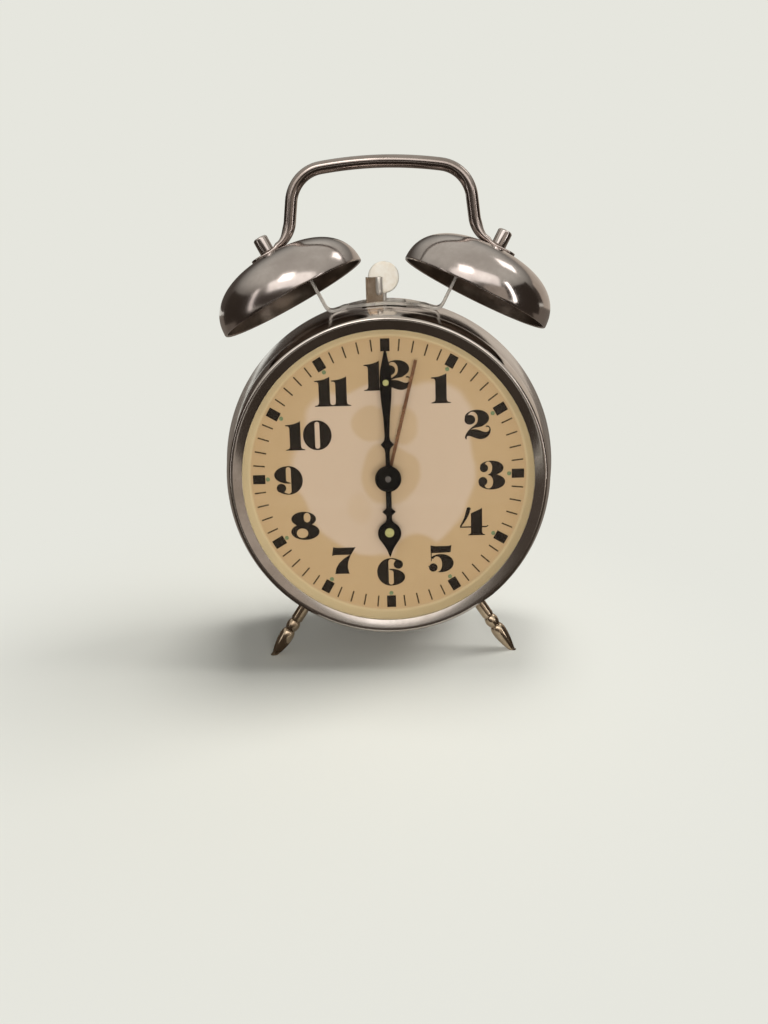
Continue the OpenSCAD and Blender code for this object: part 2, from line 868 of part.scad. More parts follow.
module minute_hand() {
    at = minute_len * 0.757;
    color(blacked) stand() sheet(minute_hand_y, hand_t) difference() {
        union() {
            circle(r = 3);
            left_half([
                [0.72, -1],
                [0.72, 8.6],
                [1.05, 10],
                [2.2, 11.3],
                [1.05, 12.6],
                [0.78, 14],
                [1.1, at - 12],
                [lance_w * 0.46, at - 5.6],
                [lance_w * 0.5, at],
                [lance_w * 0.44, at + (minute_len - at) * 0.3],
                [lance_w * 0.2, at + (minute_len - at) * 0.7],
                [0.06, minute_len]
            ]);
        }
        circle(r = cannon_r + press);
    }
}

module hand_cap() {
    color(blacked) stand() difference() {
        spun([
            [0, cap_y],
            [cap_r - 0.5, cap_y],
            [cap_r, cap_y + 0.4],
            [cap_r, minute_hand_y - seat],
            [0, minute_hand_y - seat]
        ]);
        rod([0, 0], cap_y - 1, minute_hand_y + 1, arbor_r + press);
    }
}

module hour_hand() {
    at = hour_len * 0.695;
    color(blacked) stand() sheet(hour_hand_y, hand_t) rotate(180) difference() {
        union() {
            circle(r = 3.4);
            left_half([
                [0.82, -1],
                [0.82, 9.6],
                [2.2, 10.8],
                [0.82, 11.9],
                [0.9, at - 5],
                [1.5, at - 3]
            ]);
            translate([0, at])
                circle(r = spade_r);
            left_half([
                [spade_r * 0.72, at + spade_r * 0.69],
                [spade_r * 0.36, at + spade_r * 1.15],
                [spade_r * 0.16, at + spade_r * 1.5],
                [0.06, hour_len]
            ]);
        }
        circle(r = hour_pipe_r + press);
    }
}

module alarm_hand() {
    color(brass) stand() sheet(alarm_hand_y, hand_t * 0.8) rotate(-alarm_at) difference() {
        union() {
            circle(r = 3.7);
            translate([-alarm_w / 2, 0])
                square([alarm_w, alarm_len]);
        }
        circle(r = alarm_pipe_r + press);
    }
}

module front_plate() {
    color(brass) stand() union() {
        sheet(front_y, plate_t) difference() {
            plate2d();
            for (p = post_pts())
                translate(p)
                    circle(r = 1 + press);
        }
        rod(minute_c, 2.5, front_y + 0.2, 0.8);
        rod(stop_c, train_y - 0.2, train_y + 4.4, 1.2);
    }
}

// Studs on the back plate hold the outer ends of the springs and the regulator's pivot.
function time_stud() = time_c + polar(time_spring_r + 2.1, -20);
function alarm_stud() = alarm_c + polar(alarm_spring_r + 2.1, 200);
function hair_stud() = balance_c + [6.7, 0];

module back_plate() {
    color(brass) stand() difference() {
        union() {
            sheet(back_y, plate_t)
                plate2d();
            rod(time_stud(), time_spring_y, back_y + 0.2, 1.2);
            rod(alarm_stud(), alarm_spring_y, back_y + 0.2, 1.2);
            rod(hair_stud(), hair_y - 0.3, back_y + 0.2, 0.45);
            rod(balance_c, back_out - 0.2, back_out + 1.6, 1.6);
        }
        rod(balance_c, back_y - 1, back_out + 2, 0.6 + run);
    }
}

module pillars() {
    color(steel) stand() for (p = pillar_pts()) {
        rod(p, train_y + seat, back_y - seat, 2.5);
        rod(p, front_y - 1.6, back_out + 1.6, 1.5);
    }
}

module pillar_nuts() {
    nut_t = 1.5;
    color(steel) stand()
        for (p = pillar_pts())
            for (y = [front_y - seat - nut_t, back_out + seat]) difference() {
                translate([p[0], y, p[1]])
                    rotate([-90, 0, 0])
                        cylinder(r = 2.9, h = nut_t, $fn = 6);
                rod(p, y - 1, y + 3, 1.5 + press);
            }
}

module movement_posts() {
    color(steel) stand() for (p = post_pts()) {
        rod(p, dial_seat_y + wall + seat, front_y - seat, 1.8);
        rod(p, dial_seat_y + 0.1, train_y, 1);
    }
}

module cover_posts() {
    color(steel) stand() for (p = cover_pts()) difference() {
        rod(p, back_out + seat, cover_y - seat, 2.2);
        rod(p, cover_y - 7, cover_y + 1, 1.25 + press);
    }
}

module time_mainspring() {
    color(blued) stand()
        spiral(time_c, time_spring_y, 8, 4, time_spring_r, 7, 0.45);
}

module alarm_mainspring() {
    color(blued) stand()
        spiral(alarm_c, alarm_spring_y, 3.4, 4, alarm_spring_r, 6, 0.45);
}

module ratchet2d(c, mirrored) {
    translate(c) mirror([mirrored ? 1 : 0, 0]) polygon([
        for (i = [0 : 17]) for (k = [0, 1])
            polar(k == 0 ? 5.4 : 6.3, i * 20 + (k == 0 ? 0 : 15))
    ]);
}

// Clicks stop the ratchets from running back; each hangs from a stud on the back plate.
module clicks() {
    color(steel) stand() for (s = [-1, 1]) {
        c = s > 0 ? time_c : alarm_c;
        p = c + [s * 4, -9.6];
        sheet(ratchet_y, 1) union() {
            translate(p)
                circle(r = 1.6);
            polygon([p + [0, 1.5], p + [0, -1.5], c + [-s * 3.2, -6.6], c + [-s * 2.2, -6.65]]);
        }
        rod(p, ratchet_y + 0.5, back_y - press, 0.8);
    }
}

module hairspring() {
    color(blued) stand()
        spiral(balance_c, hair_y, 0.8, 1.7, 5.9, 5, 0.22);
}

module centre_arbor() {
    color(steel) stand()
        rod([0, 0], post_tip, key_y + knob_len - 0.8, arbor_r);
}

module cannon_pinion() {
    color(steel) stand() difference() {
        union() {
            gear([0, 0], 4.4, 1.2, n_cannon, m_cannon, minute_dir);
            rod([0, 0], minute_hand_y + 0.05, 5, cannon_r);
        }
        rod([0, 0], minute_hand_y - 1, 7, arbor_r + press);
    }
}

module knob(c, r, bore) {
    flutes = 18;
    difference() {
        rod(c, key_y, key_y + knob_len, r);
        rod(c, key_y - 1, key_y + knob_len - 0.7, bore + press);
        for (i = [0 : flutes - 1])
            rod(c + polar(r + 0.25, i * 360 / flutes), key_y + 0.8, key_y + knob_len + 1, 0.55);
    }
}

module time_set_knob() {
    color(nickel) stand() knob([0, 0], set_knob_r, arbor_r);
}

module minute_wheel() {
    wheel_phase = mesh(minute_dir, minute_dir, n_cannon, n_minute);
    color(brass) stand() difference() {
        union() {
            gear(minute_c, 4.6, 0.8, n_minute, m_cannon, wheel_phase);
            gear(minute_c, 2.7, 2, n_minute_p, m_hour, minute_dir + 180);
        }
        rod(minute_c, 1, 7, 0.8 + run);
    }
}

module hour_wheel() {
    color(brass) stand() difference() {
        union() {
            gear([0, 0], 2.9, 1, n_hour, m_hour,
                mesh(minute_dir + 180, minute_dir + 180, n_minute_p, n_hour));
            rod([0, 0], hour_hand_y, 3.4, hour_pipe_r);
        }
        rod([0, 0], hour_hand_y - 1, 5, hour_pipe_in);
    }
}

module alarm_wheel() {
    color(brass) stand() difference() {
        union() {
            gear([0, 0], 1.2, 1, n_alarm, m_alarm, set_dir);
            rod([0, 0], alarm_hand_y, 1.7, alarm_pipe_r);
        }
        rod([0, 0], alarm_hand_y - 1, 4, alarm_pipe_in);
    }
}

module alarm_set_arbor() {
    color(steel) stand() union() {
        rod(set_c, 0.9, key_y + knob_len - 0.8, 1);
        gear(set_c, 1.1, 1.2, n_alarm_p, m_alarm, mesh(set_dir, set_dir, n_alarm, n_alarm_p));
    }
}

module alarm_set_knob() {
    color(nickel) stand() knob(set_c, alarm_knob_r, 1);
}

module centre_wheel() {
    color(brass) stand() difference() {
        union() {
            gear([0, 0], centre_y, wheel_t, n_centre, m_centre, third_dir);
            rod([0, 0], centre_y, great_y + 2, 1.8);
            gear([0, 0], great_y - 0.6, 2.6, n_centre_p, m_great,
                mesh(great_dir + 180, 0, n_great, n_centre_p));
        }
        rod([0, 0], centre_y - 1, great_y + 4, arbor_r + run);
    }
}

module third_wheel() {
    color(brass) stand() difference() {
        gear(third_c, third_y, wheel_t, n_third, m_third, fourth_dir);
        rod(third_c, third_y - 1, third_y + 3, 0.8 + press);
    }
}

module third_arbor() {
    color(steel) stand() union() {
        rod(third_c, front_y, back_out, 0.8);
        gear(third_c, centre_y - 0.4, 1.8, n_third_p, m_centre,
            mesh(third_dir, third_dir, n_centre, n_third_p));
    }
}

module fourth_wheel() {
    color(brass) stand() difference() {
        gear(fourth_c, fourth_y, 0.8, n_fourth, m_fourth, escape_dir);
        rod(fourth_c, fourth_y - 1, fourth_y + 3, 0.7 + press);
    }
}

module fourth_arbor() {
    color(steel) stand() union() {
        rod(fourth_c, front_y, back_out, 0.7);
        gear(fourth_c, third_y - 0.4, 1.8, n_fourth_p, m_third,
            mesh(fourth_dir, fourth_dir, n_third, n_fourth_p));
    }
}

module escape_wheel() {
    color(brass) stand() union() {
        rod(escape_c, front_y, back_out, 0.6);
        gear(escape_c, fourth_y - 0.4, 1.6, n_escape_p, m_fourth,
            mesh(escape_dir, escape_dir, n_fourth, n_escape_p));
        sheet(escape_y, 0.8) translate(escape_c) polygon([
            for (i = [0 : 14]) for (k = [0, 1])
                polar(k == 0 ? escape_r * 0.72 : escape_r, i * 24 + (k == 0 ? 0 : 17))
        ]);
    }
}

// The pallet pins stand just clear of the escape wheel's tips.
module pallet_lever() {
    fork = pallet_c + polar(7.6, balance_dir);
    color(steel) stand() union() {
        rod(pallet_c, front_y, back_out, 0.5);
        sheet(pallet_y, 0.6) union() {
            translate(pallet_c)
                circle(r = 1.4);
            polygon([pallet_c + [0, 0.8], pallet_c + [0, -0.8], fork + [0, -0.4], fork + [0, 0.4]]);
            for (k = [-38, 38]) {
                q = escape_c + polar(escape_r + 0.78, pallet_dir + k);
                d = atan2(q[1] - pallet_c[1], q[0] - pallet_c[0]);
                polygon([pallet_c + polar(1, d + 90), pallet_c + polar(1, d - 90), q + polar(0.5, d - 90),
                    q + polar(0.5, d), q + polar(0.5, d + 90)]);
            }
        }
        for (k = [-38, 38])
            rod(escape_c + polar(escape_r + 0.78, pallet_dir + k), escape_y - 0.2, pallet_y + 0.3, 0.25);
    }
}

module balance_wheel() {
    color(brass) stand() union() {
        rod(balance_c, front_y, back_out, 0.6);
        rod(balance_c, pallet_y, hair_y + 0.8, 1.2);
        sheet(balance_y, 1.2) translate(balance_c) union() {
            difference() {
                circle(r = balance_r);
                circle(r = balance_r - 1.3);
            }
            translate([-balance_r + 0.6, -0.7])
                square([2 * balance_r - 1.2, 1.4]);
        }
    }
}

module time_great_wheel() {
    color(brass) stand() difference() {
        gear(time_c, great_y, great_t, n_great, m_great, 0);
        rod(time_c, great_y - 1, great_y + 3, time_r + run);
    }
}

module winding_arbor(c, spring_y, spring_h, mirrored) {
    union() {
        rod(c, front_y, key_y + 4, time_r);
        rod(c, spring_y, spring_y + spring_h, 2.8);
        sheet(ratchet_y, 1) ratchet2d(c, mirrored);
    }
}

module time_winding_arbor() {
    color(steel) stand() winding_arbor(time_c, time_spring_y, 8, false);
}

module alarm_winding_arbor() {
    color(steel) stand() winding_arbor(alarm_c, alarm_spring_y, 3.4, true);
}

// Butterfly key: a hub with two pierced wings.
module winding_key(c) {
    wing = 4.8;
    difference() {
        union() {
            rod(c, key_y, key_y + 5.6, 3);
            translate([c[0], 0, c[1] - key_t / 2]) linear_extrude(height = key_t) difference() {
                union() {
                    for (s = [-1, 1])
                        translate([s * (key_r - wing), key_end - wing])
                            circle(r = wing);
                    translate([-key_r + wing, key_y + 2])
                        square([2 * (key_r - wing), key_end - key_y - 3.6]);
                }
                for (s = [-1, 1])
                    translate([s * (key_r - wing), key_end - wing])
                        circle(r = 2.2);
            }
        }
        rod(c, key_y - 1, key_y + 4.1, time_r + press);
    }
}

module time_key() {
    color(nickel) stand() winding_key(time_c);
}

module alarm_key() {
    color(nickel) stand() winding_key(alarm_c);
}

module alarm_great_wheel() {
    color(brass) stand() difference() {
        gear(alarm_c, alarm_great_y, great_t, n_great, m_great, star_dir);
        rod(alarm_c, alarm_great_y - 1, alarm_great_y + 3, time_r + run);
    }
}

module alarm_star_wheel() {
    color(brass) stand() union() {
        rod(star_c, front_y, back_out, 0.8);
        gear(star_c, alarm_great_y - 0.4, 2.2, n_star_p, m_great,
            mesh(star_dir, star_dir, n_great, n_star_p));
        sheet(star_y, wheel_t) translate(star_c) polygon([
            for (i = [0 : 15]) for (k = [0, 1])
                polar(k == 0 ? star_r * 0.75 : star_r, i * 22.5 + (k == 0 ? 0 : 11.25))
        ]);
    }
}

// Regulator: a lever round the balance pivot whose bent end stands out through the cover.
module regulator_lever() {
    y0 = back_out + 0.4;
    color(steel) stand() difference() {
        union() {
            sheet(y0, 0.8) translate(balance_c) union() {
                circle(r = 3.2);
                translate([-1, -regulator_len - 0.6])
                    square([2, regulator_len]);
            }
            translate([balance_c[0] - 1, y0, balance_c[1] - regulator_len - 0.6])
                cube([2, cover_back + 3 - y0, 1.2]);
        }
        rod(balance_c, y0 - 1, y0 + 2, 1.6 + run);
    }
}

case_shell();
bezel();
glass();
dial();
back_cover();
cover_screws();
left_leg();
right_leg();
leg_nuts();
bell_bracket();
bracket_rivets();
left_bell();
right_bell();
bell_studs();
bell_spacers();
bell_nuts();
handle();
hammer_head();
hammer_arm();
stop_lever();
minute_hand();
hand_cap();
hour_hand();
alarm_hand();
front_plate();
back_plate();
pillars();
pillar_nuts();
movement_posts();
cover_posts();
time_mainspring();
alarm_mainspring();
clicks();
hairspring();
centre_arbor();
cannon_pinion();
time_set_knob();
minute_wheel();
hour_wheel();
alarm_wheel();
alarm_set_arbor();
alarm_set_knob();
centre_wheel();
third_wheel();
third_arbor();
fourth_wheel();
fourth_arbor();
escape_wheel();
pallet_lever();
balance_wheel();
time_great_wheel();
time_winding_arbor();
time_key();
alarm_great_wheel();
alarm_winding_arbor();
alarm_key();
alarm_star_wheel();
regulator_lever();
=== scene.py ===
import math
import bmesh
import bpy
from mathutils import Matrix, Vector
from mathutils.geometry import tessellate_polygon


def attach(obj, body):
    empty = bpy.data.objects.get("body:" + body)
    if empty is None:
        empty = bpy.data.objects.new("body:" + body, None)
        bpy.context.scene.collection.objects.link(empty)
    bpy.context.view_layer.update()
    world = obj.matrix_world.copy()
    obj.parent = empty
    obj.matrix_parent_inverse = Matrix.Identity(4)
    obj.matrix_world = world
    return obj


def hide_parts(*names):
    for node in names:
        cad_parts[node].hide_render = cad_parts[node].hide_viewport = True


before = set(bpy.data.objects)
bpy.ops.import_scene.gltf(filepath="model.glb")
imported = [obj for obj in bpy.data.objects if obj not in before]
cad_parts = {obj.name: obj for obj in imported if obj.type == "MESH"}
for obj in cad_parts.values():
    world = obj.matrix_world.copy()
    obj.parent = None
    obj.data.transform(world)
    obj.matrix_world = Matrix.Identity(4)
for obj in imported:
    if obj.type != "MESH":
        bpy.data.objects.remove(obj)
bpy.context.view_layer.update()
scene = bpy.context.scene
scene.view_settings.view_transform = "Standard"

# ---- How the clock stands ------------------------------------------------------------
# The clock rests on two legs and on the rear corner of its case, so it leans back.
# Pieces are drawn in millimetres about the dial's axis (front towards -Y, dial at y = 0),
# and this matrix leans them back, lifts them onto the floor and makes them metres.
lean = math.radians(9.677786)
axis_height = 63.973413
axis_forward = 19.247007
standing = Matrix.Rotation(-lean, 4, "X")
clock = (Matrix.Translation((0, -axis_forward / 1000, axis_height / 1000))
         @ standing @ Matrix.Scale(0.001, 4))

# ---- Camera --------------------------------------------------------------------------
# A hand camera, close in front of the dial and a little above it, looking slightly down.
# Its place and turn are given about the dial's axis, in millimetres and radians.
camera_place = Vector((3.07, -296.9, 43.6))
camera_turn = Vector((-0.1860, 0.0261, 0.0137))
picture_height, focal_pixels = 1024, 888.0
camera_data = bpy.data.cameras.new("photo_camera")
camera_data.sensor_width = 36
camera_data.lens = camera_data.sensor_width * focal_pixels / picture_height
camera_data.clip_start = 0.01
camera = bpy.data.objects.new("photo_camera", camera_data)
looking = (standing.to_3x3()
           @ Matrix.Rotation(camera_turn.length, 3, camera_turn.normalized())
           @ Matrix.Rotation(math.radians(90), 3, "X"))
camera.matrix_world = Matrix.Translation(clock @ camera_place) @ looking.to_4x4()
scene.collection.objects.link(camera)
scene.camera = camera

# ---- Floor ---------------------------------------------------------------------------
# A sheet of pale matt paper under the clock. Close by it takes the clock's soft shadow,
# and further out it runs over into the even paper colour of the background.


def linear(code):
    """Linear colour, with alpha, of an sRGB hex value."""
    parts = [int(code[i:i + 2], 16) / 255 for i in (1, 3, 5)]
    return [c / 12.92 if c <= 0.04045 else ((c + 0.055) / 1.055) ** 2.4 for c in parts] + [1.0]


def node(tree, kind, settings=None, inputs=None):
    """Adds one node with its settings, and sets or links its inputs."""
    made = tree.nodes.new(kind)
    for key, value in (settings or {}).items():
        setattr(made, key, value)
    for key, value in (inputs or {}).items():
        if isinstance(value, bpy.types.NodeSocket):
            tree.links.new(value, made.inputs[key])
        else:
            made.inputs[key].default_value = value
    return made


paper_colour = linear("#E6E6DE")
paper_light, floor_r = 1.02, 2.5
shadow_middle, shadow_near, shadow_far = (-0.03, -0.03, 0.0), 0.03, 0.18
# Matt paper: one even pale tone, changed only by the soft shadow.
paper = bpy.data.materials.new("matt_paper")
paper.use_nodes = True
tree = paper.node_tree
tree.nodes.clear()
rays = node(tree, "ShaderNodeLightPath")
seen = node(tree, "ShaderNodeMath", {"operation": "MAXIMUM"},
            {0: rays.outputs["Is Camera Ray"], 1: rays.outputs["Is Glossy Ray"]})
seen = node(tree, "ShaderNodeMath", {"operation": "MAXIMUM"},
            {0: seen.outputs[0], 1: rays.outputs["Is Transmission Ray"]})
even = node(tree, "ShaderNodeEmission", {}, {"Color": paper_colour, "Strength": seen.outputs[0]})
# the lamps together light the paper a little above its own tone
lit = node(tree, "ShaderNodeBsdfDiffuse", {},
           {"Color": [c / paper_light for c in paper_colour[:3]] + [1.0]})
where = node(tree, "ShaderNodeTexCoord")
away = node(tree, "ShaderNodeVectorMath", {"operation": "DISTANCE"},
            {0: where.outputs["Object"], 1: shadow_middle})
fade = node(tree, "ShaderNodeMapRange", {"interpolation_type": "SMOOTHSTEP"},
            {"Value": away.outputs["Value"], "From Min": shadow_near, "From Max": shadow_far})
mixed = node(tree, "ShaderNodeMixShader", {},
             {0: fade.outputs[0], 1: lit.outputs[0], 2: even.outputs[0]})
node(tree, "ShaderNodeOutputMaterial", {}, {"Surface": mixed.outputs[0]})
bm = bmesh.new()
bmesh.ops.create_circle(bm, cap_ends=True, segments=96, radius=floor_r)
floor_mesh = bpy.data.meshes.new("floor")
bm.to_mesh(floor_mesh)
bm.free()
floor_mesh.materials.append(paper)
floor = bpy.data.objects.new("floor", floor_mesh)
scene.collection.objects.link(floor)

# ---- Studio light --------------------------------------------------------------------
# Plain soft light: a low fill in front, a lamp overhead and one on the right, which together throw
# the soft shadow. A wide wall of light, two small lamps and two strips only glint in the metal.
room_light = linear("#80807E")
world = bpy.data.worlds.new("pale_room")
scene.world = world
world.use_nodes = True
tree = world.node_tree
tree.nodes.clear()
rays = node(tree, "ShaderNodeLightPath")
# what shines onto the dial through the crystal is the room's soft light, not the background
bare = node(tree, "ShaderNodeMath", {"operation": "LESS_THAN"},
            {0: rays.outputs["Diffuse Depth"], 1: 0.5})
bare = node(tree, "ShaderNodeMath", {"operation": "MULTIPLY"},
            {0: rays.outputs["Is Transmission Ray"], 1: bare.outputs[0]})
seen = node(tree, "ShaderNodeMath", {"operation": "MAXIMUM"},
            {0: rays.outputs["Is Camera Ray"], 1: rays.outputs["Is Glossy Ray"]})
seen = node(tree, "ShaderNodeMath", {"operation": "MAXIMUM"},
            {0: seen.outputs[0], 1: bare.outputs[0]})
shown = node(tree, "ShaderNodeMix", {"data_type": "RGBA"},
             {0: seen.outputs[0], 6: room_light, 7: paper_colour})
sky = node(tree, "ShaderNodeBackground", {}, {"Color": shown.outputs[2], "Strength": 1.0})
node(tree, "ShaderNodeOutputWorld", {}, {"Surface": sky.outputs[0]})
# name, place, width, height, power, and whether it shows in the metal and lights matt surfaces
lamps = (("front_wall", (0.0, -1.3, 1.15), 2.4, 0.8, 8.0, True, False),
         ("front_lamp", (-0.25, -0.9, 1.2), 0.5, 0.4, 2.2, True, False),
         ("front_fill", (0.1, -1.5, 0.28), 0.9, 0.45, 15.8, False, True),
         ("top_lamp", (0.10, 0.38, 1.4), 0.45, 0.45, 8.5, False, True),
         ("side_lamp", (1.15, 0.25, 0.9), 0.8, 0.8, 14.0, False, True),
         ("rear_glint", (0.9, 0.5, 1.1), 0.35, 0.35, 1.2, True, False),
         ("left_strip", (-0.75, -0.4, 0.25), 0.10, 0.6, 0.4, True, False),
         ("right_strip", (0.75, -0.5, 0.30), 0.10, 0.6, 0.8, True, False))
lamp_white, clock_middle = (1.0, 0.99, 0.97), Vector((0, 0, 0.07))
for name, place, wide, high, watts, in_metal, on_matt in lamps:
    lamp_data = bpy.data.lights.new(name, "AREA")
    lamp_data.shape = "RECTANGLE"
    lamp_data.size, lamp_data.size_y = wide, high
    lamp_data.energy = watts
    lamp_data.color = lamp_white
    lamp = bpy.data.objects.new(name, lamp_data)
    aim = clock_middle - Vector(place)
    lamp.matrix_world = Matrix.Translation(place) @ aim.to_track_quat("-Z", "Y").to_matrix().to_4x4()
    lamp.visible_glossy, lamp.visible_diffuse, lamp.visible_transmission = in_metal, on_matt, False
    scene.collection.objects.link(lamp)
# Dark covers on the table, dark side cards, two pale ones and the room's wall, as a photographer
# sets them by bright metal. They glow with a painted tone of their own; the camera doesn't see them:
# they only show as bands in the nickel.


def card(name, shade, corners, faces=((0, 1, 2, 3),)):
    """Stands a glowing card in the studio that only reflections see, and returns its colour's socket."""
    # A glowing card: one even painted tone that it gives off itself, unlit by the lamps, with no gloss of its
    # own.
    glow_card = bpy.data.materials.new(name)
    glow_card.use_nodes = True
    glow_card.cycles.emission_sampling = "NONE"
    tree = glow_card.node_tree
    tone = node(tree, "ShaderNodeEmission", {}, {"Color": linear(shade), "Strength": 1.0})
    tree.links.new(tone.outputs[0], tree.nodes["Material Output"].inputs["Surface"])
    mesh = bpy.data.meshes.new(name)
    mesh.from_pydata(corners, [], faces)
    mesh.materials.append(glow_card)
    made = bpy.data.objects.new(name, mesh)
    made.visible_camera = made.visible_diffuse = False
    made.visible_shadow = made.visible_transmission = False
    scene.collection.objects.link(made)
    return tone.inputs["Color"]


dark_glow, cover_z = "#443D36", 0.0005
# flat on the table: left, right, front and back edge; the paper stays bare round the feet
covers = (("front_table_card", dark_glow, -0.9, 0.9, -1.0, -0.07),
          ("left_table_card", dark_glow, -0.9, -0.035, -0.07, 0.01),
          ("right_table_card", dark_glow, 0.042, 0.9, -0.07, 0.01),
          ("rear_table_card", "#7E766D", -0.9, 0.9, 0.01, 0.9))
for name, shade, x0, x1, y0, y1 in covers:
    card(name, shade, ((x0, y0, cover_z), (x1, y0, cover_z), (x1, y1, cover_z), (x0, y1, cover_z)))
# upright: where one lower corner and the other stand, and the height
uprights = (("right_card", "#3E3731", (0.42, -0.25), (0.38, 0.1), 0.30),
            ("left_card", dark_glow, (-0.36, 0.25), (-0.42, -0.2), 0.26),
            ("pale_front_card", "#BDB4A9", (0.20, -1.2), (0.85, -0.85), 0.55),
            ("pale_rear_card", "#CFC4B6", (0.80, 0.45), (0.02, 1.0), 0.42))
for name, shade, (x0, y0), (x1, y1), high in uprights:
    card(name, shade, ((x0, y0, 0.0), (x1, y1, 0.0), (x1, y1, high), (x0, y0, high)))
# the wall is dim by the table and pales upwards to the paper's own white
wall_r, wall_top, wall_steps = 2.3, 2.61, 64
wall_shade, dim_below, pale_above = "#524B45", 0.25, 0.75
wall_round = [math.tau * k / wall_steps for k in range(wall_steps)]
wall_ring = [(wall_r * math.cos(a), wall_r * math.sin(a), z) for z in (0.0, wall_top) for a in wall_round]
wall_faces = [(k, (k + 1) % wall_steps, wall_steps + (k + 1) % wall_steps, wall_steps + k)
              for k in range(wall_steps)]
wall_tone = card("room_wall", wall_shade, wall_ring, wall_faces)
tree = wall_tone.id_data
way = node(tree, "ShaderNodeTexCoord")
slope = node(tree, "ShaderNodeVectorMath", {"operation": "NORMALIZE"}, {0: way.outputs["Object"]})
rise = node(tree, "ShaderNodeSeparateXYZ", {}, {0: slope.outputs[0]})
paling = node(tree, "ShaderNodeMapRange", {"interpolation_type": "SMOOTHSTEP"},
              {"Value": rise.outputs["Z"], "From Min": dim_below, "From Max": pale_above})
paled = node(tree, "ShaderNodeMix", {"data_type": "RGBA"},
             {0: paling.outputs[0], 6: linear(wall_shade), 7: paper_colour})
tree.links.new(paled.outputs[2], wall_tone)

# ---- Case ----------------------------------------------------------------------------
# A drum of thin sheet steel, spun with a slight flare towards the back and a rounded rear
# corner, nickel plated and worn. An opening in its top lets hammer and stop lever through.


def rounded(corners, steps=5):
    """Profile points of (radius, height, fillet) corners, each turned on a small curve."""
    out = []
    for i, (r, h, fillet) in enumerate(corners):
        here = Vector((r, h))
        if fillet <= 0:
            out.append(here)
            continue
        back = Vector(corners[i - 1][:2]) - here
        ahead = Vector(corners[(i + 1) % len(corners)][:2]) - here
        a = here + back.normalized() * min(fillet, back.length * 0.49)
        b = here + ahead.normalized() * min(fillet, ahead.length * 0.49)
        for k in range(steps + 1):
            t = k / steps
            out.append(a * (1 - t) ** 2 + here * 2 * t * (1 - t) + b * t ** 2)
    return out


def turned(bm, profile, place, steps=144, surfaces=None):
    """Spins a closed profile of (radius, height) points about the Z axis of place."""
    rings = []
    for r, h in profile:
        count = 1 if r < 1e-6 else steps
        rings.append([bm.verts.new(place @ Vector((r * math.cos(math.tau * k / steps),
                                                   r * math.sin(math.tau * k / steps), h)))
                      for k in range(count)])
    for i, ring in enumerate(rings):
        after = rings[(i + 1) % len(rings)]
        for k in range(steps):
            m = (k + 1) % steps
            if len(ring) > 1 and len(after) > 1:
                face = bm.faces.new((ring[k], ring[m], after[m], after[k]))
            elif len(ring) > 1:
                face = bm.faces.new((ring[k], ring[m], after[0]))
            elif len(after) > 1:
                face = bm.faces.new((ring[0], after[m], after[k]))
            else:
                break
            face.material_index = surfaces[i] if surfaces else 0


def walled(bm, one, other):
    """Faces all round between two closed loops of as many points."""
    for k in range(len(one)):
        m = (k + 1) % len(one)
        bm.faces.new((one[k], one[m], other[m], other[k]))


def meshed(name, bm):
    """A plain mesh of what was drawn, with its faces turned outwards."""
    bmesh.ops.recalc_face_normals(bm, faces=bm.faces)
    mesh = bpy.data.meshes.new(name)
    bm.to_mesh(mesh)
    bm.free()
    return mesh


def piece(name, bm, body, slot, materials, *stands_for, crease=32):
    """Makes a finished piece of a mesh drawn about the dial's axis, and binds it to its body."""
    bmesh.ops.remove_doubles(bm, verts=bm.verts, dist=1e-4)
    return seated(name, meshed(name, bm), body, slot, materials, *stands_for, crease=crease)


def seated(name, mesh, body, slot, materials, *stands_for, crease=32):
    """Moves a mesh from the dial's axis to its place on the floor and binds it to its body."""
    mesh.transform(clock)
    for material in materials:
        if material.name not in mesh.materials:
            mesh.materials.append(material)
    mesh.shade_smooth()
    mesh.set_sharp_from_angle(angle=math.radians(crease))
    made = bpy.data.objects.new(name, mesh)
    scene.collection.objects.link(made)
    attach(made, body)
    if stands_for:
        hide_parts(*stands_for)
    return made


def new_finish(name):
    """A new material, with its tree and its shader."""
    material = bpy.data.materials.new(name)
    material.use_nodes = True
    return material, material.node_tree, material.node_tree.nodes["Principled BSDF"]


pit_brown = "#4A3B2C"


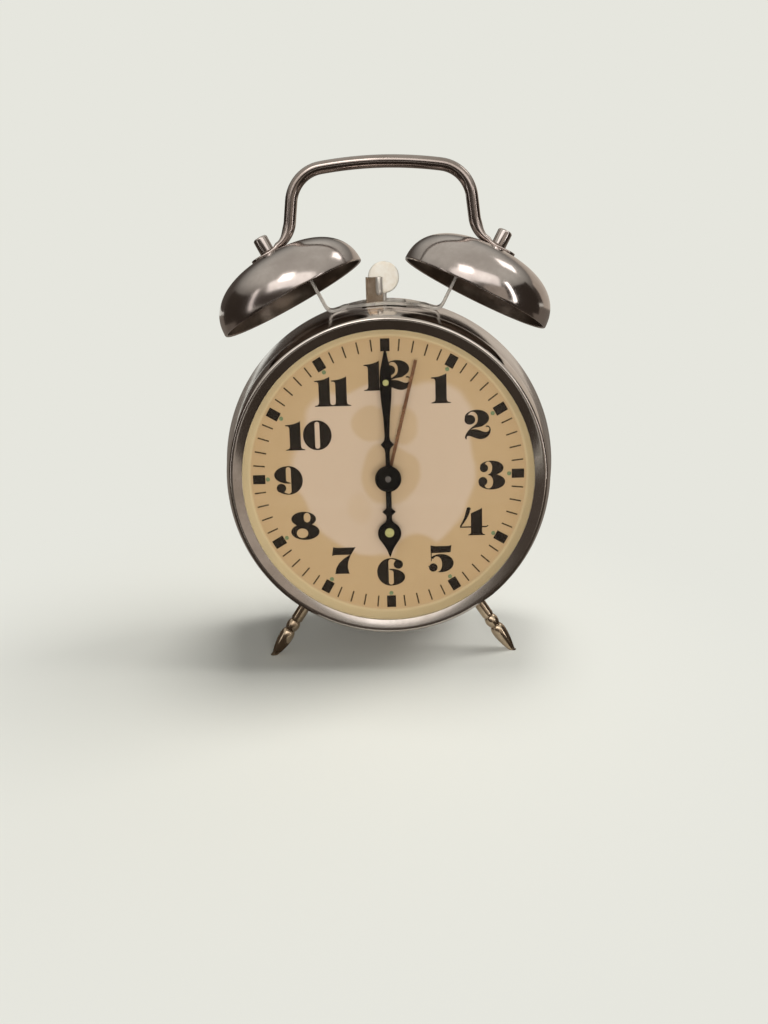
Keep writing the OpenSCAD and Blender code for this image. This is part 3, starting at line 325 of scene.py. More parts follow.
def plated(name, bright, dull, rough, smear_mm, wave_um=0.0, pits=0.0, metallic=1.0):
    """A plated or polished metal: smeared tarnish, fine wear in the gloss and a faint unevenness."""
    material, tree, shader = new_finish(name)
    shader.inputs["Metallic"].default_value = metallic
    spot = node(tree, "ShaderNodeTexCoord").outputs["Object"]
    smears = node(tree, "ShaderNodeTexNoise", {},
                  {"Vector": spot, "Scale": 1000 / smear_mm, "Detail": 6.0, "Roughness": 0.62})
    toned = node(tree, "ShaderNodeMapRange", {"interpolation_type": "SMOOTHSTEP"},
                 {"Value": smears.outputs[0], "From Min": 0.32, "From Max": 0.72})
    colour = node(tree, "ShaderNodeMix", {"data_type": "RGBA"},
                  {0: toned.outputs[0], 6: linear(bright), 7: linear(dull)})
    # rusty pits of the worn plating are about 0.5 mm across, in cells of 2.2 mm
    cells = node(tree, "ShaderNodeTexVoronoi", {}, {"Vector": spot, "Scale": 1000 / 2.2})
    pit = node(tree, "ShaderNodeMapRange", {"interpolation_type": "SMOOTHSTEP"},
               {"Value": cells.outputs["Distance"], "From Min": 0.05, "From Max": 0.14,
                "To Min": pits, "To Max": 0.0})
    chance = node(tree, "ShaderNodeMath", {"operation": "MULTIPLY"},
                  {0: pit.outputs[0], 1: toned.outputs[0]})
    colour = node(tree, "ShaderNodeMix", {"data_type": "RGBA"},
                  {0: chance.outputs[0], 6: colour.outputs[2], 7: linear(pit_brown)})
    tree.links.new(colour.outputs[2], shader.inputs["Base Color"])
    # handling marks of about 1.5 mm set the gloss
    rubs = node(tree, "ShaderNodeTexNoise", {},
                {"Vector": spot, "Scale": 1000 / 1.5, "Detail": 5.0, "Roughness": 0.7})
    gloss = node(tree, "ShaderNodeMath", {"operation": "MULTIPLY_ADD"},
                 {0: rubs.outputs[0], 1: 0.5, 2: toned.outputs[0]})
    gloss = node(tree, "ShaderNodeMapRange", {},
                 {"Value": gloss.outputs[0], "From Min": 0.1, "From Max": 1.2,
                  "To Min": rough[0], "To Max": rough[1]})
    tree.links.new(gloss.outputs[0], shader.inputs["Roughness"])
    if wave_um:
        # pressing leaves the sheet uneven over about 9 mm
        waves = node(tree, "ShaderNodeTexNoise", {},
                     {"Vector": spot, "Scale": 1000 / 9.0, "Detail": 2.0})
        uneven = node(tree, "ShaderNodeBump", {},
                      {"Height": waves.outputs[0], "Distance": wave_um * 1e-6, "Strength": 1.0})
        tree.links.new(uneven.outputs[0], shader.inputs["Normal"])
    return material


# Worn nickel plate: grey with a warm cast, glossy with soft smears and a few brown pits.
worn_nickel = plated("worn_nickel_plate", "#C1B7B2", "#A49994", (0.09, 0.19), 22,
                     wave_um=16, pits=0.12)
along_axis = Matrix.Rotation(math.radians(-90), 4, "X")
case_r, case_flare, case_depth, corner_r = 54.6, math.radians(10.5), 38.0, 9.0
sheet = 0.8
corner_y = case_depth - corner_r
corner_c = (case_r + math.tan(case_flare) * (corner_y - corner_r * math.sin(case_flare))
            - corner_r * math.cos(case_flare))
neck_r, neck_front, step_y = 53.55, -3.0, 1.4
rear_flange = corner_c - 5


def case_at(y):
    """Radius of the flaring case wall at a depth behind the dial."""
    return case_r + math.tan(case_flare) * y


turns = [-case_flare + (math.pi / 2 + case_flare) * i / 16 for i in range(17)]
outside = [Vector((corner_c + corner_r * math.cos(a), corner_y + corner_r * math.sin(a))) for a in turns]
inside = [Vector((corner_c + (corner_r - sheet) * math.cos(a),
                  corner_y + (corner_r - sheet) * math.sin(a))) for a in reversed(turns)]
shoulder = rounded([(neck_r, neck_front, 0), (neck_r, step_y, 0.3), (case_at(step_y), step_y, 0.5),
                    (case_at(corner_y / 2), corner_y / 2, 0)])
inner_shoulder = [Vector((case_at(step_y + sheet) - sheet / math.cos(case_flare), step_y + sheet)),
                  Vector((neck_r - sheet, step_y + sheet)), Vector((neck_r - sheet, neck_front))]
flange = [Vector((rear_flange, case_depth)), Vector((rear_flange, case_depth - sheet))]
profile = shoulder + outside + flange + inside + inner_shoulder
bm = bmesh.new()
turned(bm, profile, along_axis, steps=192)
drum = meshed("case_drum", bm)


def settled(holder):
    """The plain mesh that an object's modifiers make of it; the object itself goes."""
    mesh = bpy.data.meshes.new_from_object(holder.evaluated_get(bpy.context.evaluated_depsgraph_get()))
    holder.modifiers.clear()
    bpy.data.objects.remove(holder)
    return mesh


def punched(mesh, wide, front, back, radius):
    """Cuts an opening with rounded corners through the top of a mesh."""
    outline = rounded([(-wide / 2, front, radius), (wide / 2, front, radius),
                       (wide / 2, back, radius), (-wide / 2, back, radius)])
    bm = bmesh.new()
    # from inside the case to well above it
    punch_low, punch_high = 40, 75
    low = [bm.verts.new((p.x, p.y, punch_low)) for p in outline]
    high = [bm.verts.new((p.x, p.y, punch_high)) for p in outline]
    bm.faces.new(low)
    bm.faces.new(high)
    walled(bm, low, high)
    punch = bpy.data.objects.new("opening_punch", meshed("opening_punch", bm))
    blank = bpy.data.objects.new("blank", mesh)
    scene.collection.objects.link(punch)
    scene.collection.objects.link(blank)
    cut = blank.modifiers.new("opening", "BOOLEAN")
    cut.operation, cut.solver, cut.object = "DIFFERENCE", "EXACT", punch
    done = settled(blank)
    bpy.data.objects.remove(punch)
    return done


slot_w, slot_front, slot_back = 15.0, 9.2, 20.6
seated("case", punched(drum, slot_w, slot_front, slot_back, 1.2), "clock", "nickel_plate", [worn_nickel],
       "case_shell")

# ---- Movement ------------------------------------------------------------------------
# The going and alarm trains between two brass plates, with steel arbors, pillars and nuts
# and blued steel springs. They are stamped, cut and turned, and sit unseen inside the case.


def dressed(material, *names):
    """Gives carried-over pieces of the frame their finish."""
    for name in names:
        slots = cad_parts[name].data.materials
        for i in range(len(slots)):
            slots[i] = material


# Sheet brass, rolled and lightly tarnished: warm yellow with a soft gloss.
rolled_brass = plated("rolled_brass", "#C9A35A", "#9A7638", (0.24, 0.42), 9)
# Turned steel, bare and slightly oily: clean grey.
turned_steel = plated("turned_steel", "#C4C1BB", "#98938B", (0.20, 0.38), 7, pits=0.3)
# Spring steel blued in the fire: dark blue with a violet cast.
blued_steel = plated("blued_spring_steel", "#37415C", "#4A3D55", (0.22, 0.36), 5)
dressed(rolled_brass, "front_plate", "back_plate", "minute_wheel", "hour_wheel", "alarm_wheel",
        "centre_wheel", "third_wheel", "fourth_wheel", "escape_wheel", "balance_wheel",
        "time_great_wheel", "alarm_great_wheel", "alarm_star_wheel")
dressed(turned_steel, "pillars", "pillar_nuts", "movement_posts", "cover_posts", "clicks", "cannon_pinion",
        "third_arbor", "fourth_arbor", "pallet_lever", "time_winding_arbor", "alarm_winding_arbor",
        "alarm_set_arbor", "leg_nuts", "regulator_lever")
dressed(blued_steel, "time_mainspring", "alarm_mainspring", "hairspring")

# ---- Dial ----------------------------------------------------------------------------
# A pressed sheet-metal dial with a raised rim, sprayed cream and gone tan with age. The
# middle has kept its colour under the hands, apart from yellowed patches round the hub.
dial_colour, grimed_colour, middle_colour, rim_painted_light = "#B19571", "#A88C68", "#B8A18C", "#D0BD98"
edge_wander, rim_from, rim_to = 0.008, 0.0462, 0.0470
# Sprayed paint, aged: matt tan with a fine grain, and paler and greyer in the middle. Its raised rim is
# painted paler still, as painted light.
aged, tree, shader = new_finish("aged_dial_paint")
spot = node(tree, "ShaderNodeTexCoord").outputs["Object"]
# the pattern is drawn in metres about the dial's centre, with the lean taken out
flat = node(tree, "ShaderNodeMapping", {"vector_type": "TEXTURE"},
            {"Vector": spot, "Location": clock.translation, "Rotation": (-lean, 0, 0)})
drift = node(tree, "ShaderNodeTexNoise", {},
             {"Vector": flat.outputs[0], "Scale": 1000 / 26.0, "Detail": 3.0, "Roughness": 0.45})
shift = node(tree, "ShaderNodeVectorMath", {"operation": "MULTIPLY_ADD"},
             {0: drift.outputs["Color"], 1: (edge_wander, 0.0, edge_wander),
              2: (-edge_wander / 2, 0.0, -edge_wander / 2)})
warped = node(tree, "ShaderNodeVectorMath", {}, {0: flat.outputs[0], 1: shift.outputs[0]})
# patches: x, z, radius and softness in mm, and whether they are pale or yellowed
patches = ((0.0, 2.0, 29.5, 1.2, 1.0), (16.0, 19.0, 12.5, 1.5, 1.0), (-19.5, 5.0, 13.0, 1.5, 1.0),
           (-17.0, 17.0, 11.5, 1.5, 1.0), (9.5, -27.5, 8.4, 1.2, 0.0), (-5.5, 17.2, 6.2, 1.0, 0.35),
           (4.5, 17.6, 6.2, 1.0, 0.35), (0.6, 0.9, 9.8, 1.0, 0.30), (-8.8, -10.5, 4.2, 1.6, 0.75))
share = 0.0
for x, z, radius, soft, pale in patches:
    reach = node(tree, "ShaderNodeVectorMath", {"operation": "DISTANCE"},
                 {0: warped.outputs[0], 1: (x / 1000, 0, z / 1000)})
    reach = node(tree, "ShaderNodeMapRange", {"interpolation_type": "SMOOTHSTEP"},
                 {"Value": reach.outputs["Value"], "From Min": (radius - soft) / 1000,
                  "From Max": (radius + soft) / 1000, "To Min": 1.0, "To Max": 0.0})
    mixed = node(tree, "ShaderNodeMix", {}, {0: reach.outputs[0], 2: share, 3: pale})
    share = mixed.outputs[0]
grime = node(tree, "ShaderNodeTexNoise", {},
             {"Vector": flat.outputs[0], "Scale": 1000 / 5.0, "Detail": 6.0, "Roughness": 0.6})
tan = node(tree, "ShaderNodeMix", {"data_type": "RGBA"},
           {0: grime.outputs[0], 6: linear(dial_colour), 7: linear(grimed_colour)})
shade = node(tree, "ShaderNodeMix", {"data_type": "RGBA"},
             {0: share, 6: tan.outputs[2], 7: linear(middle_colour)})
# the raised rim, behind the edge of the crystal, is a paler cream: painted light for the light its lower side
# catches
out = node(tree, "ShaderNodeVectorMath", {"operation": "MULTIPLY"},
           {0: flat.outputs[0], 1: (1.0, 0.0, 1.0)})
out = node(tree, "ShaderNodeVectorMath", {"operation": "LENGTH"}, {0: out.outputs[0]})
out = node(tree, "ShaderNodeMapRange", {},
           {"Value": out.outputs["Value"], "From Min": rim_from, "From Max": rim_to})
shade = node(tree, "ShaderNodeMix", {"data_type": "RGBA"},
             {0: out.outputs[0], 6: shade.outputs[2], 7: linear(rim_painted_light)})
tree.links.new(shade.outputs[2], shader.inputs["Base Color"])
shader.inputs["Roughness"].default_value = 0.55
shader.inputs["Specular IOR Level"].default_value = 0.3
# the spray dried in a grain of about 0.35 mm
spray = node(tree, "ShaderNodeTexNoise", {}, {"Vector": spot, "Scale": 1000 / 0.35, "Detail": 2.0})
grain = node(tree, "ShaderNodeBump", {}, {"Height": spray.outputs[0], "Distance": 4e-6, "Strength": 0.6})
tree.links.new(grain.outputs[0], shader.inputs["Normal"])
dial_r, dial_sheet, dial_hole, dial_bend = 46.8, 0.5, 2.96, 1.4
dial_rim_y, dial_rim_in, dial_rim_out = -5.15, 48.35, 49.0
dial_section = [(dial_hole, 0, 0), (dial_r, 0, dial_bend), (dial_rim_in, dial_rim_y, 0),
                (dial_rim_out, dial_rim_y, 0), (dial_r + 0.7, dial_sheet, dial_bend),
                (dial_hole, dial_sheet, 0)]
bm = bmesh.new()
turned(bm, rounded(dial_section), along_axis, steps=192)
piece("dial_face", bm, "clock", "dial_paint", [aged], "dial")

# ---- Printed marks -------------------------------------------------------------------
# Sixty minute ticks with a block at each hour, screen printed in brown-black ink that has
# faded a little, and a dab of green lume paint next to each block, towards the middle.


def ring_of_marks():
    """A tree that sets the incoming mark at even steps round the dial's axis."""
    tree = bpy.data.node_groups.new("ring_of_marks", "GeometryNodeTree")
    face = tree.interface
    for label, kind in (("Mark", "Geometry"), ("Count", "Int"), ("Radius", "Float"),
                        ("Leave Out Every", "Int"), ("Finish", "Material")):
        face.new_socket(label, in_out="INPUT", socket_type="NodeSocket" + kind)
    face.new_socket("Marks", in_out="OUTPUT", socket_type="NodeSocketGeometry")
    given = node(tree, "NodeGroupInput").outputs
    number = node(tree, "GeometryNodeInputIndex").outputs[0]
    step = node(tree, "ShaderNodeMath", {"operation": "DIVIDE"}, {0: math.tau, 1: given["Count"]})
    angle = node(tree, "ShaderNodeMath", {"operation": "MULTIPLY"}, {0: number, 1: step.outputs[0]})
    across = node(tree, "ShaderNodeMath", {"operation": "SINE"}, {0: angle.outputs[0]})
    upward = node(tree, "ShaderNodeMath", {"operation": "COSINE"}, {0: angle.outputs[0]})
    unit = node(tree, "ShaderNodeCombineXYZ", {}, {"X": across.outputs[0], "Z": upward.outputs[0]})
    spot = node(tree, "ShaderNodeVectorMath", {"operation": "SCALE"},
                {0: unit.outputs[0], "Scale": given["Radius"]})
    turn = node(tree, "ShaderNodeCombineXYZ", {}, {"Y": angle.outputs[0]})
    every = node(tree, "ShaderNodeMath", {"operation": "MODULO"}, {0: number, 1: given["Leave Out Every"]})
    kept = node(tree, "FunctionNodeCompare", {"data_type": "FLOAT", "operation": "GREATER_THAN"},
                {0: every.outputs[0], 1: 0.5})
    always = node(tree, "FunctionNodeCompare", {"data_type": "FLOAT", "operation": "LESS_THAN"},
                  {0: given["Leave Out Every"], 1: 0.5})
    chosen = node(tree, "FunctionNodeBooleanMath", {"operation": "OR"},
                  {0: kept.outputs[0], 1: always.outputs[0]})
    points = node(tree, "GeometryNodePoints", {}, {"Count": given["Count"], "Position": spot.outputs[0]})
    # the selection and the turn are read on the points, whose index runs round the ring
    set_out = node(tree, "GeometryNodeInstanceOnPoints", {},
                   {"Points": points.outputs[0], "Selection": chosen.outputs[0], "Instance": given["Mark"],
                    "Rotation": turn.outputs[0]})
    real = node(tree, "GeometryNodeRealizeInstances", {}, {0: set_out.outputs[0]})
    finished = node(tree, "GeometryNodeSetMaterial", {},
                    {"Geometry": real.outputs[0], "Material": given["Finish"]})
    node(tree, "NodeGroupOutput", {}, {0: finished.outputs[0]})
    return tree


marks_tree = ring_of_marks()


def ringed(name, bm, body, slot, finish, count, radius, skip=0, crease=32):
    """Repeats a mark round the dial's axis and makes the ring one plain piece."""
    holder = bpy.data.objects.new(name + "_mark", meshed(name + "_mark", bm))
    scene.collection.objects.link(holder)
    ring = holder.modifiers.new("ring", "NODES")
    ring.node_group = marks_tree
    given = {"Count": count, "Radius": radius, "Leave Out Every": skip, "Finish": finish}
    for socket in marks_tree.interface.items_tree:
        if socket.in_out == "INPUT" and socket.name in given:
            ring[socket.identifier] = given[socket.name]
    return seated(name, settled(holder), body, slot, [finish], crease=crease)


def painted(name, colour, worn, rough, grain_mm, gloss=0.3):
    """A thin coat of paint or ink: uneven in tone over a grain of that size."""
    material, tree, shader = new_finish(name)
    spot = node(tree, "ShaderNodeTexCoord").outputs["Object"]
    tone = node(tree, "ShaderNodeTexNoise", {},
                {"Vector": spot, "Scale": 1000 / grain_mm, "Detail": 5.0, "Roughness": 0.65})
    tone = node(tree, "ShaderNodeMapRange", {"interpolation_type": "SMOOTHSTEP"},
                {"Value": tone.outputs[0], "From Min": 0.38, "From Max": 0.72})
    colour = node(tree, "ShaderNodeMix", {"data_type": "RGBA"},
                  {0: tone.outputs[0], 6: linear(colour), 7: linear(worn)})
    tree.links.new(colour.outputs[2], shader.inputs["Base Color"])
    shader.inputs["Roughness"].default_value = rough
    shader.inputs["Specular IOR Level"].default_value = gloss
    bump = node(tree, "ShaderNodeBump", {}, {"Height": tone.outputs[0], "Distance": 8e-6, "Strength": 0.5})
    tree.links.new(bump.outputs[0], shader.inputs["Normal"])
    return material


def prism(bm, loop, back, front, holes=()):
    """A flat shape drawn in x and z, closed on all sides between two depths."""
    loops = [list(loop)] + [list(h) for h in holes]
    flat = [[Vector((x, z, 0)) for x, z in one] for one in loops]
    triangles = tessellate_polygon(flat)
    sides = []
    for depth in (front, back):
        sides.append([[bm.verts.new((x, depth, z)) for x, z in one] for one in loops])
    for side, flip in zip(sides, (1, -1)):
        every = [v for one in side for v in one]
        for a, b, c in triangles:
            bm.faces.new((every[a], every[b], every[c])[::flip])
    for one, other in zip(*sides):
        walled(bm, one, other)


# Screen ink, brown-black and matt, thinned by age.
dial_ink = painted("faded_screen_ink", "#171009", "#241A13", 0.6, 1.6, gloss=0.12)
tick_ink = painted("faded_tick_ink", "#33261A", "#4E3D2A", 0.6, 1.2, gloss=0.12)
# Lume paint: chalky dabs, green on the dial and yellowed on the hands.
green_lume = painted("green_lume_paint", "#707C5C", "#5E6A4B", 0.8, 0.7, gloss=0.15)
ink_front, ink_back = -0.035, 0.01
ring_mid = 43.7
block_long, block_wide = 4.3, 3.1
tick_long, tick_wide = 3.9, 0.5
for name, wide, long, ink, count, skip in (("minute_ticks", tick_wide, tick_long, tick_ink, 60, 5),
                                           ("hour_blocks", block_wide, block_long, dial_ink, 12, 0)):
    bm = bmesh.new()
    prism(bm, [(-wide / 2, -long / 2), (wide / 2, -long / 2), (wide / 2, long / 2), (-wide / 2, long / 2)],
          ink_back, ink_front)
    ringed(name, bm, "clock", None, ink, count, ring_mid, skip=skip)
dot_r, dot_ring, dot_front = 0.72, 40.7, -0.12


def dab(bm, x, z, r, back, front, sides=24):
    """A low rounded dab of thick paint."""
    rings = []
    for share, rise in ((1.0, 0.0), (1.0, 0.5), (0.8, 0.9)):
        depth = back + (front - back) * rise
        rings.append([bm.verts.new((x + r * share * math.cos(math.tau * k / sides), depth,
                                    z + r * share * math.sin(math.tau * k / sides))) for k in range(sides)])
    top = bm.verts.new((x, front, z))
    bm.faces.new(rings[0])
    for a, b in zip(rings, rings[1:]):
        walled(bm, a, b)
    for k in range(sides):
        bm.faces.new((rings[-1][k], rings[-1][(k + 1) % sides], top))


bm = bmesh.new()
dab(bm, 0, 0, dot_r, ink_back, dot_front, sides=16)
ringed("dial_lume_dots", bm, "clock", None, green_lume, 12, dot_ring, crease=60)

# ---- Numerals ------------------------------------------------------------------------
# Upright fat-face figures, one to twelve, screen printed in the same ink: swollen bowls,
# hairline joins, ball ends and slab feet. Drawn on a figure height of 100.
figure_high = 9.8


def arc(x, z, rx, rz, start, end, steps=28):
    """Points on an ellipse between two angles in degrees, counter-clockwise if end > start."""
    return [(x + rx * math.cos(math.radians(start + (end - start) * k / steps)),
             z + rz * math.sin(math.radians(start + (end - start) * k / steps))) for k in range(steps + 1)]


def eased(points, steps=5):
    """A smooth run through points of two or three numbers."""
    ends = [points[0]] + list(points) + [points[-1]]
    run = []
    for i in range(1, len(ends) - 2):
        p0, p1, p2, p3 = (Vector(p) for p in ends[i - 1:i + 3])
        for k in range(steps):
            t = k / steps
            run.append(0.5 * (2 * p1 + (p2 - p0) * t + (2 * p0 - 5 * p1 + 4 * p2 - p3) * t ** 2
                              + (3 * p1 - p0 - 3 * p2 + p3) * t ** 3))
    return run + [Vector(points[-1])]


def stroke(path):
    """A pen stroke through (x, z, width) points, eased between them."""
    run = eased(path, 6)
    left, right = [], []
    for i, p in enumerate(run):
        way = run[min(i + 1, len(run) - 1)] - run[max(i - 1, 0)]
        side = Vector((-way.y, way.x)).normalized() * p.z / 2
        left.append((p.x + side.x, p.y + side.y))
        right.append((p.x - side.x, p.y - side.y))
    return right + left[::-1]


def crescent(outer, inner, start, end):
    """A swelling stroke between two ellipses (x, z, rx, rz), between two angles."""
    return arc(*outer, start, end) + arc(*inner, end, start)


def pill(x, half, low, high):
    """A tall counter with round ends."""
    return arc(x, high - half, half, half, 0, 180, 10) + arc(x, low + half, half, half, 180, 360, 10)


stem = [(19, 14), (19, 100), (11, 95.5), (0, 91.5), (-12, 88.8), (-33, 87), (-33, 83.5), (-24, 82.5),
        (-20, 79), (-19, 72), (-19, 14)]
foot_left = [(-20.5, 8), (-25, 4.5), (-33, 3), (-33, 0)]
foot_right = [(33, 0), (33, 3), (25, 4.5), (20.5, 8)]
six = [(arc(0, 50, 49, 50, 90, 270) + [(0, 4)] + arc(0, 12.5, 8.5, 8.5, 270, 180, 8)
        + arc(0, 87, 8.5, 9, 180, 90, 8), ()),
       (arc(0, 31, 49, 30.5, -90, 100) + arc(0, 47.5, 8.5, 8.5, 100, 0, 8)
        + arc(0, 12.5, 8.5, 8.5, 0, -90, 8), ()),
       (crescent((0, 74, 41, 26), (4, 74, 20, 21.5), 92, 18), ()),
       (arc(26, 77, 16.5, 16, 0, 360), ())]
figures = {
    "0": [(arc(0, 50, 49, 51, 0, 360, 64), [pill(0, 8.2, 4, 96)])],
    "1": [(foot_right + stem + foot_left, ())],
    "2": [(crescent((-2.5, 71.5, 42, 29), (-17, 70, 18, 24), 172, -62), ()),
          (arc(-26, 67, 18.5, 16.7, 0, 360), ()),
          ([(16, 48), (20, 44.6), (10, 42.3), (2.8, 41), (-6, 39.6), (-14.4, 37.2), (-21, 34.2), (-26, 30),
            (-31, 20), (-35, 12), (-37.5, 7), (-36.5, 1.5), (-40, 0.5), (-43, 5), (-43.2, 10), (-40, 18),
            (-35, 26), (-29, 33), (-22, 39.5), (-15, 44.5), (-8, 50)], ()),
          ([(-27, 31.5), (-18, 34.2), (-10, 34.6), (-2, 33.4), (6, 31), (15.7, 27), (23, 24.4), (29.5, 23.8),
            (34.5, 25.6), (38.3, 29.2), (40, 33.5), (39.3, 37.5), (36.5, 40.3), (33, 41.3), (30.5, 40.2),
            (28, 41), (27.6, 44), (30.5, 46.3), (35.5, 45.8), (40.5, 42.6), (44, 37), (44.9, 30),
            (44.2, 24.5), (42, 18.5), (38, 12.5), (32.5, 7.2), (25, 2.8), (16, 0.2), (8, 0), (-1.5, 2),
            (-10, 5), (-18.7, 8.6), (-25, 11), (-30.5, 12.2), (-34, 11.4), (-36, 9)], ())],
    "3": [(crescent((-1, 74.5, 42, 25.5), (-12, 75, 14, 22), 160, -96), ()),
          (arc(-26, 74.5, 14.2, 14.2, 0, 360), ()),
          (crescent((0, 26.5, 46.5, 27), (-11, 26.5, 16, 23), 100, -165), ()),
          (arc(-30, 28.5, 15.5, 15.5, 0, 360), ())],
    "4": [([(19.5, 24), (19.5, 97), (10, 91), (-4, 85), (-19.5, 78), (-19.5, 24)], ()),
          ([(-29, 0), (29, 0), (29, 3), (22.5, 5), (19.5, 10), (19.5, 26), (-19.5, 26), (-19.5, 10),
            (-22.5, 5), (-29, 3)], ()),
          (stroke([(-28, 94, 10), (-30, 84, 14), (-37, 64, 10), (-50, 41, 6.5), (-56.5, 31, 5)]), ()),
          (arc(-27, 93.5, 7.4, 6.5, 0, 360, 16), ()),
          ([(-58, 27.5), (20, 27.5), (30, 27.5), (37, 29), (42, 34.5), (38.5, 35), (34, 32.5),
            (-57, 32)], ())],
    "5": [([(-36, 71), (33, 73), (36.5, 99), (30, 97), (15, 95.8), (-20, 96), (-37, 99)], ()),
          ([(-37, 98), (-33, 98), (-33, 44), (-36, 41)], ()),
          (crescent((-2, 34.5, 45.5, 33), (-15, 31, 18, 28), 140, -165), ()),
          (arc(-28, 19.5, 15, 15, 0, 360), ())],
    "6": six,
    "7": [([(-41, 68), (-36, 68.5), (-33, 70.5), (23, 70.5), (43, 98), (36, 96.5), (-26, 96.5),
            (-36, 99)], ()),
          ([(43, 98), (22, 71), (0, 57), (-18, 40), (-28, 22), (-32, 2), (-29, 2.5), (15, 2.5), (19, 1),
            (13, 24), (15, 45), (24, 68)], ())],
    "8": [(arc(-3, 74, 43, 26, 0, 360, 48), [arc(9, 79, 12, 17, 0, 360, 24)]),
          (arc(1, 29, 49.5, 29, 0, 360, 48), [arc(-9, 24, 20, 17, 0, 360, 24)])],
    "9": [([(-x, 100 - z) for x, z in loop], holes) for loop, holes in six],
}
# place of each number's middle on the dial in mm, and how far apart its two figures stand
numbers = (("12", 0.0, 33.7, 81), ("1", 18.2, 29.0, 0), ("2", 30.2, 16.7, 0), ("3", 34.8, -0.4, 0),
           ("4", 29.6, -16.1, 0), ("5", 17.4, -29.0, 0), ("6", 0.1, -33.2, 0), ("7", -16.0, -28.8, 0),
           ("8", -28.9, -16.3, 0), ("9", -33.7, -0.5, 0), ("10", -27.1, 14.5, 76), ("11", -17.7, 28.9, 57))
figure_scale = figure_high / 100
bm = bmesh.new()
for number, x, z, apart in numbers:
    for k, figure in enumerate(number):
        offset = apart * (k - (len(number) - 1) / 2)
        for loop, holes in figures[figure]:
            drawn = [[(x + (px + offset) * figure_scale, z + (pz - 50) * figure_scale) for px, pz in one]
                     for one in [loop] + list(holes)]
            prism(bm, drawn[0], ink_back, ink_front, drawn[1:])
piece("dial_numerals", bm, "clock", None, [dial_ink])

# ---- Hands ---------------------------------------------------------------------------
# Stamped steel hands, blacked, pressed on their pipes, with a dab of lume on the minute and
# hour hands; the alarm hand is a narrow strip of browned brass. A black cap covers the hub.
# Blacked steel: deep brown-black with a low sheen and rubbed edges.
blacked_steel = plated("blacked_steel", "#15110F", "#231C18", (0.42, 0.58), 4)
# Browned brass: reddish brown with a soft gloss.
browned_brass = plated("browned_brass", "#92694F", "#6E4C3A", (0.22, 0.36), 3)
dressed(blacked_steel, "minute_hand", "hand_cap")
dressed(browned_brass, "alarm_hand")
# the end of the centre arbor shows in the cap as a dull grey point
dull_steel = plated("dull_arbor_steel", "#7C7471", "#5D5653", (0.3, 0.45), 3)
dressed(dull_steel, "centre_arbor")
# the hour hand, one side of its outline from the hub to the tip: a knop half way and a spade
spade_z, spade_r, hour_long, hour_hole = 18.9, 3.92, 27.0, 2.02
hub_r, hour_back, hour_front = 3.4, -3.4, -3.9
hand_side = (arc(0, 0, hub_r, hub_r, -90, 74, 24)
             + [(0.94, 10.3), (2.25, 11.5), (0.94, 12.7), (0.96, 14.2), (1.3, 15.0)]
             + arc(0, spade_z, spade_r, spade_r, -58, 40, 24)
             + [(1.9, spade_z + 4.1), (1.05, spade_z + 5.6), (0.5, spade_z + 7.0), (0.06, hour_long)])
bm = bmesh.new()
prism(bm, [(-x, -z) for x, z in hand_side] + [(x, -z) for x, z in hand_side[:0:-1]], hour_back, hour_front,
      [arc(0, 0, hour_hole, hour_hole, 0, 352, 44)])
piece("hour_hand_stamped", bm, "hour_group", "blacked_steel", [blacked_steel], "hour_hand")
# Yellowed lume paint: chalky, straw coloured and grainy.
old_lume = painted("yellowed_lume_paint", "#A5A06B", "#8E8A5A", 0.85, 0.9, gloss=0.15)
# piece, body, height and radius of the dab, and the depth of the hand's face
lume_on_hands = (("minute_hand_lume", "minute_group", 31.5, 1.0, -5.45),
                 ("hour_hand_lume", "hour_group", -18.6, 1.55, hour_front))
for name, body, z, r, depth in lume_on_hands:
    bm = bmesh.new()
    dab(bm, 0, z, r, depth + 0.05, depth - 0.14)
    piece(name, bm, body, None, [old_lume], crease=60)

# ---- Glass ---------------------------------------------------------------------------
# A domed crystal, moulded with a flat flange that the bezel's lip holds against the dial.
# Clear and colourless, with fine wear in its polish.
# Clear crystal: hardly seen but for a faint haze of wear. Its IOR is matched below the usual 1.5,
# because the real one shows almost nothing of the room.
crystal, tree, shader = new_finish("clear_crystal")
shader.inputs["Base Color"].default_value = linear("#FBFBF8")
shader.inputs["Transmission Weight"].default_value = 1.0
shader.inputs["IOR"].default_value = 1.2
spot = node(tree, "ShaderNodeTexCoord").outputs["Object"]
wear = node(tree, "ShaderNodeTexNoise", {}, {"Vector": spot, "Scale": 1000 / 6.0, "Detail": 6.0})
haze = node(tree, "ShaderNodeMapRange", {}, {"Value": wear.outputs[0], "To Min": 0.0, "To Max": 0.05})
tree.links.new(haze.outputs[0], shader.inputs["Roughness"])
# light from the lamps goes straight through to the dial
rays = node(tree, "ShaderNodeLightPath")
through = node(tree, "ShaderNodeBsdfTransparent")
passing = node(tree, "ShaderNodeMixShader", {},
               {0: rays.outputs["Is Shadow Ray"], 1: shader.outputs[0], 2: through.outputs[0]})
tree.links.new(passing.outputs[0], tree.nodes["Material Output"].inputs["Surface"])
glass_edge, glass_flange, glass_seat, glass_thick, glass_rise = 48.2, 50.6, -6.4, 1.2, 2.9
sphere = (glass_edge ** 2 + glass_rise ** 2) / (2 * glass_rise)
glass_top = glass_seat - 0.2 - glass_rise


def dome_y(r):
    """Depth of the crystal's outer face at a radius."""
    return glass_top + sphere - math.sqrt(sphere ** 2 - r ** 2)


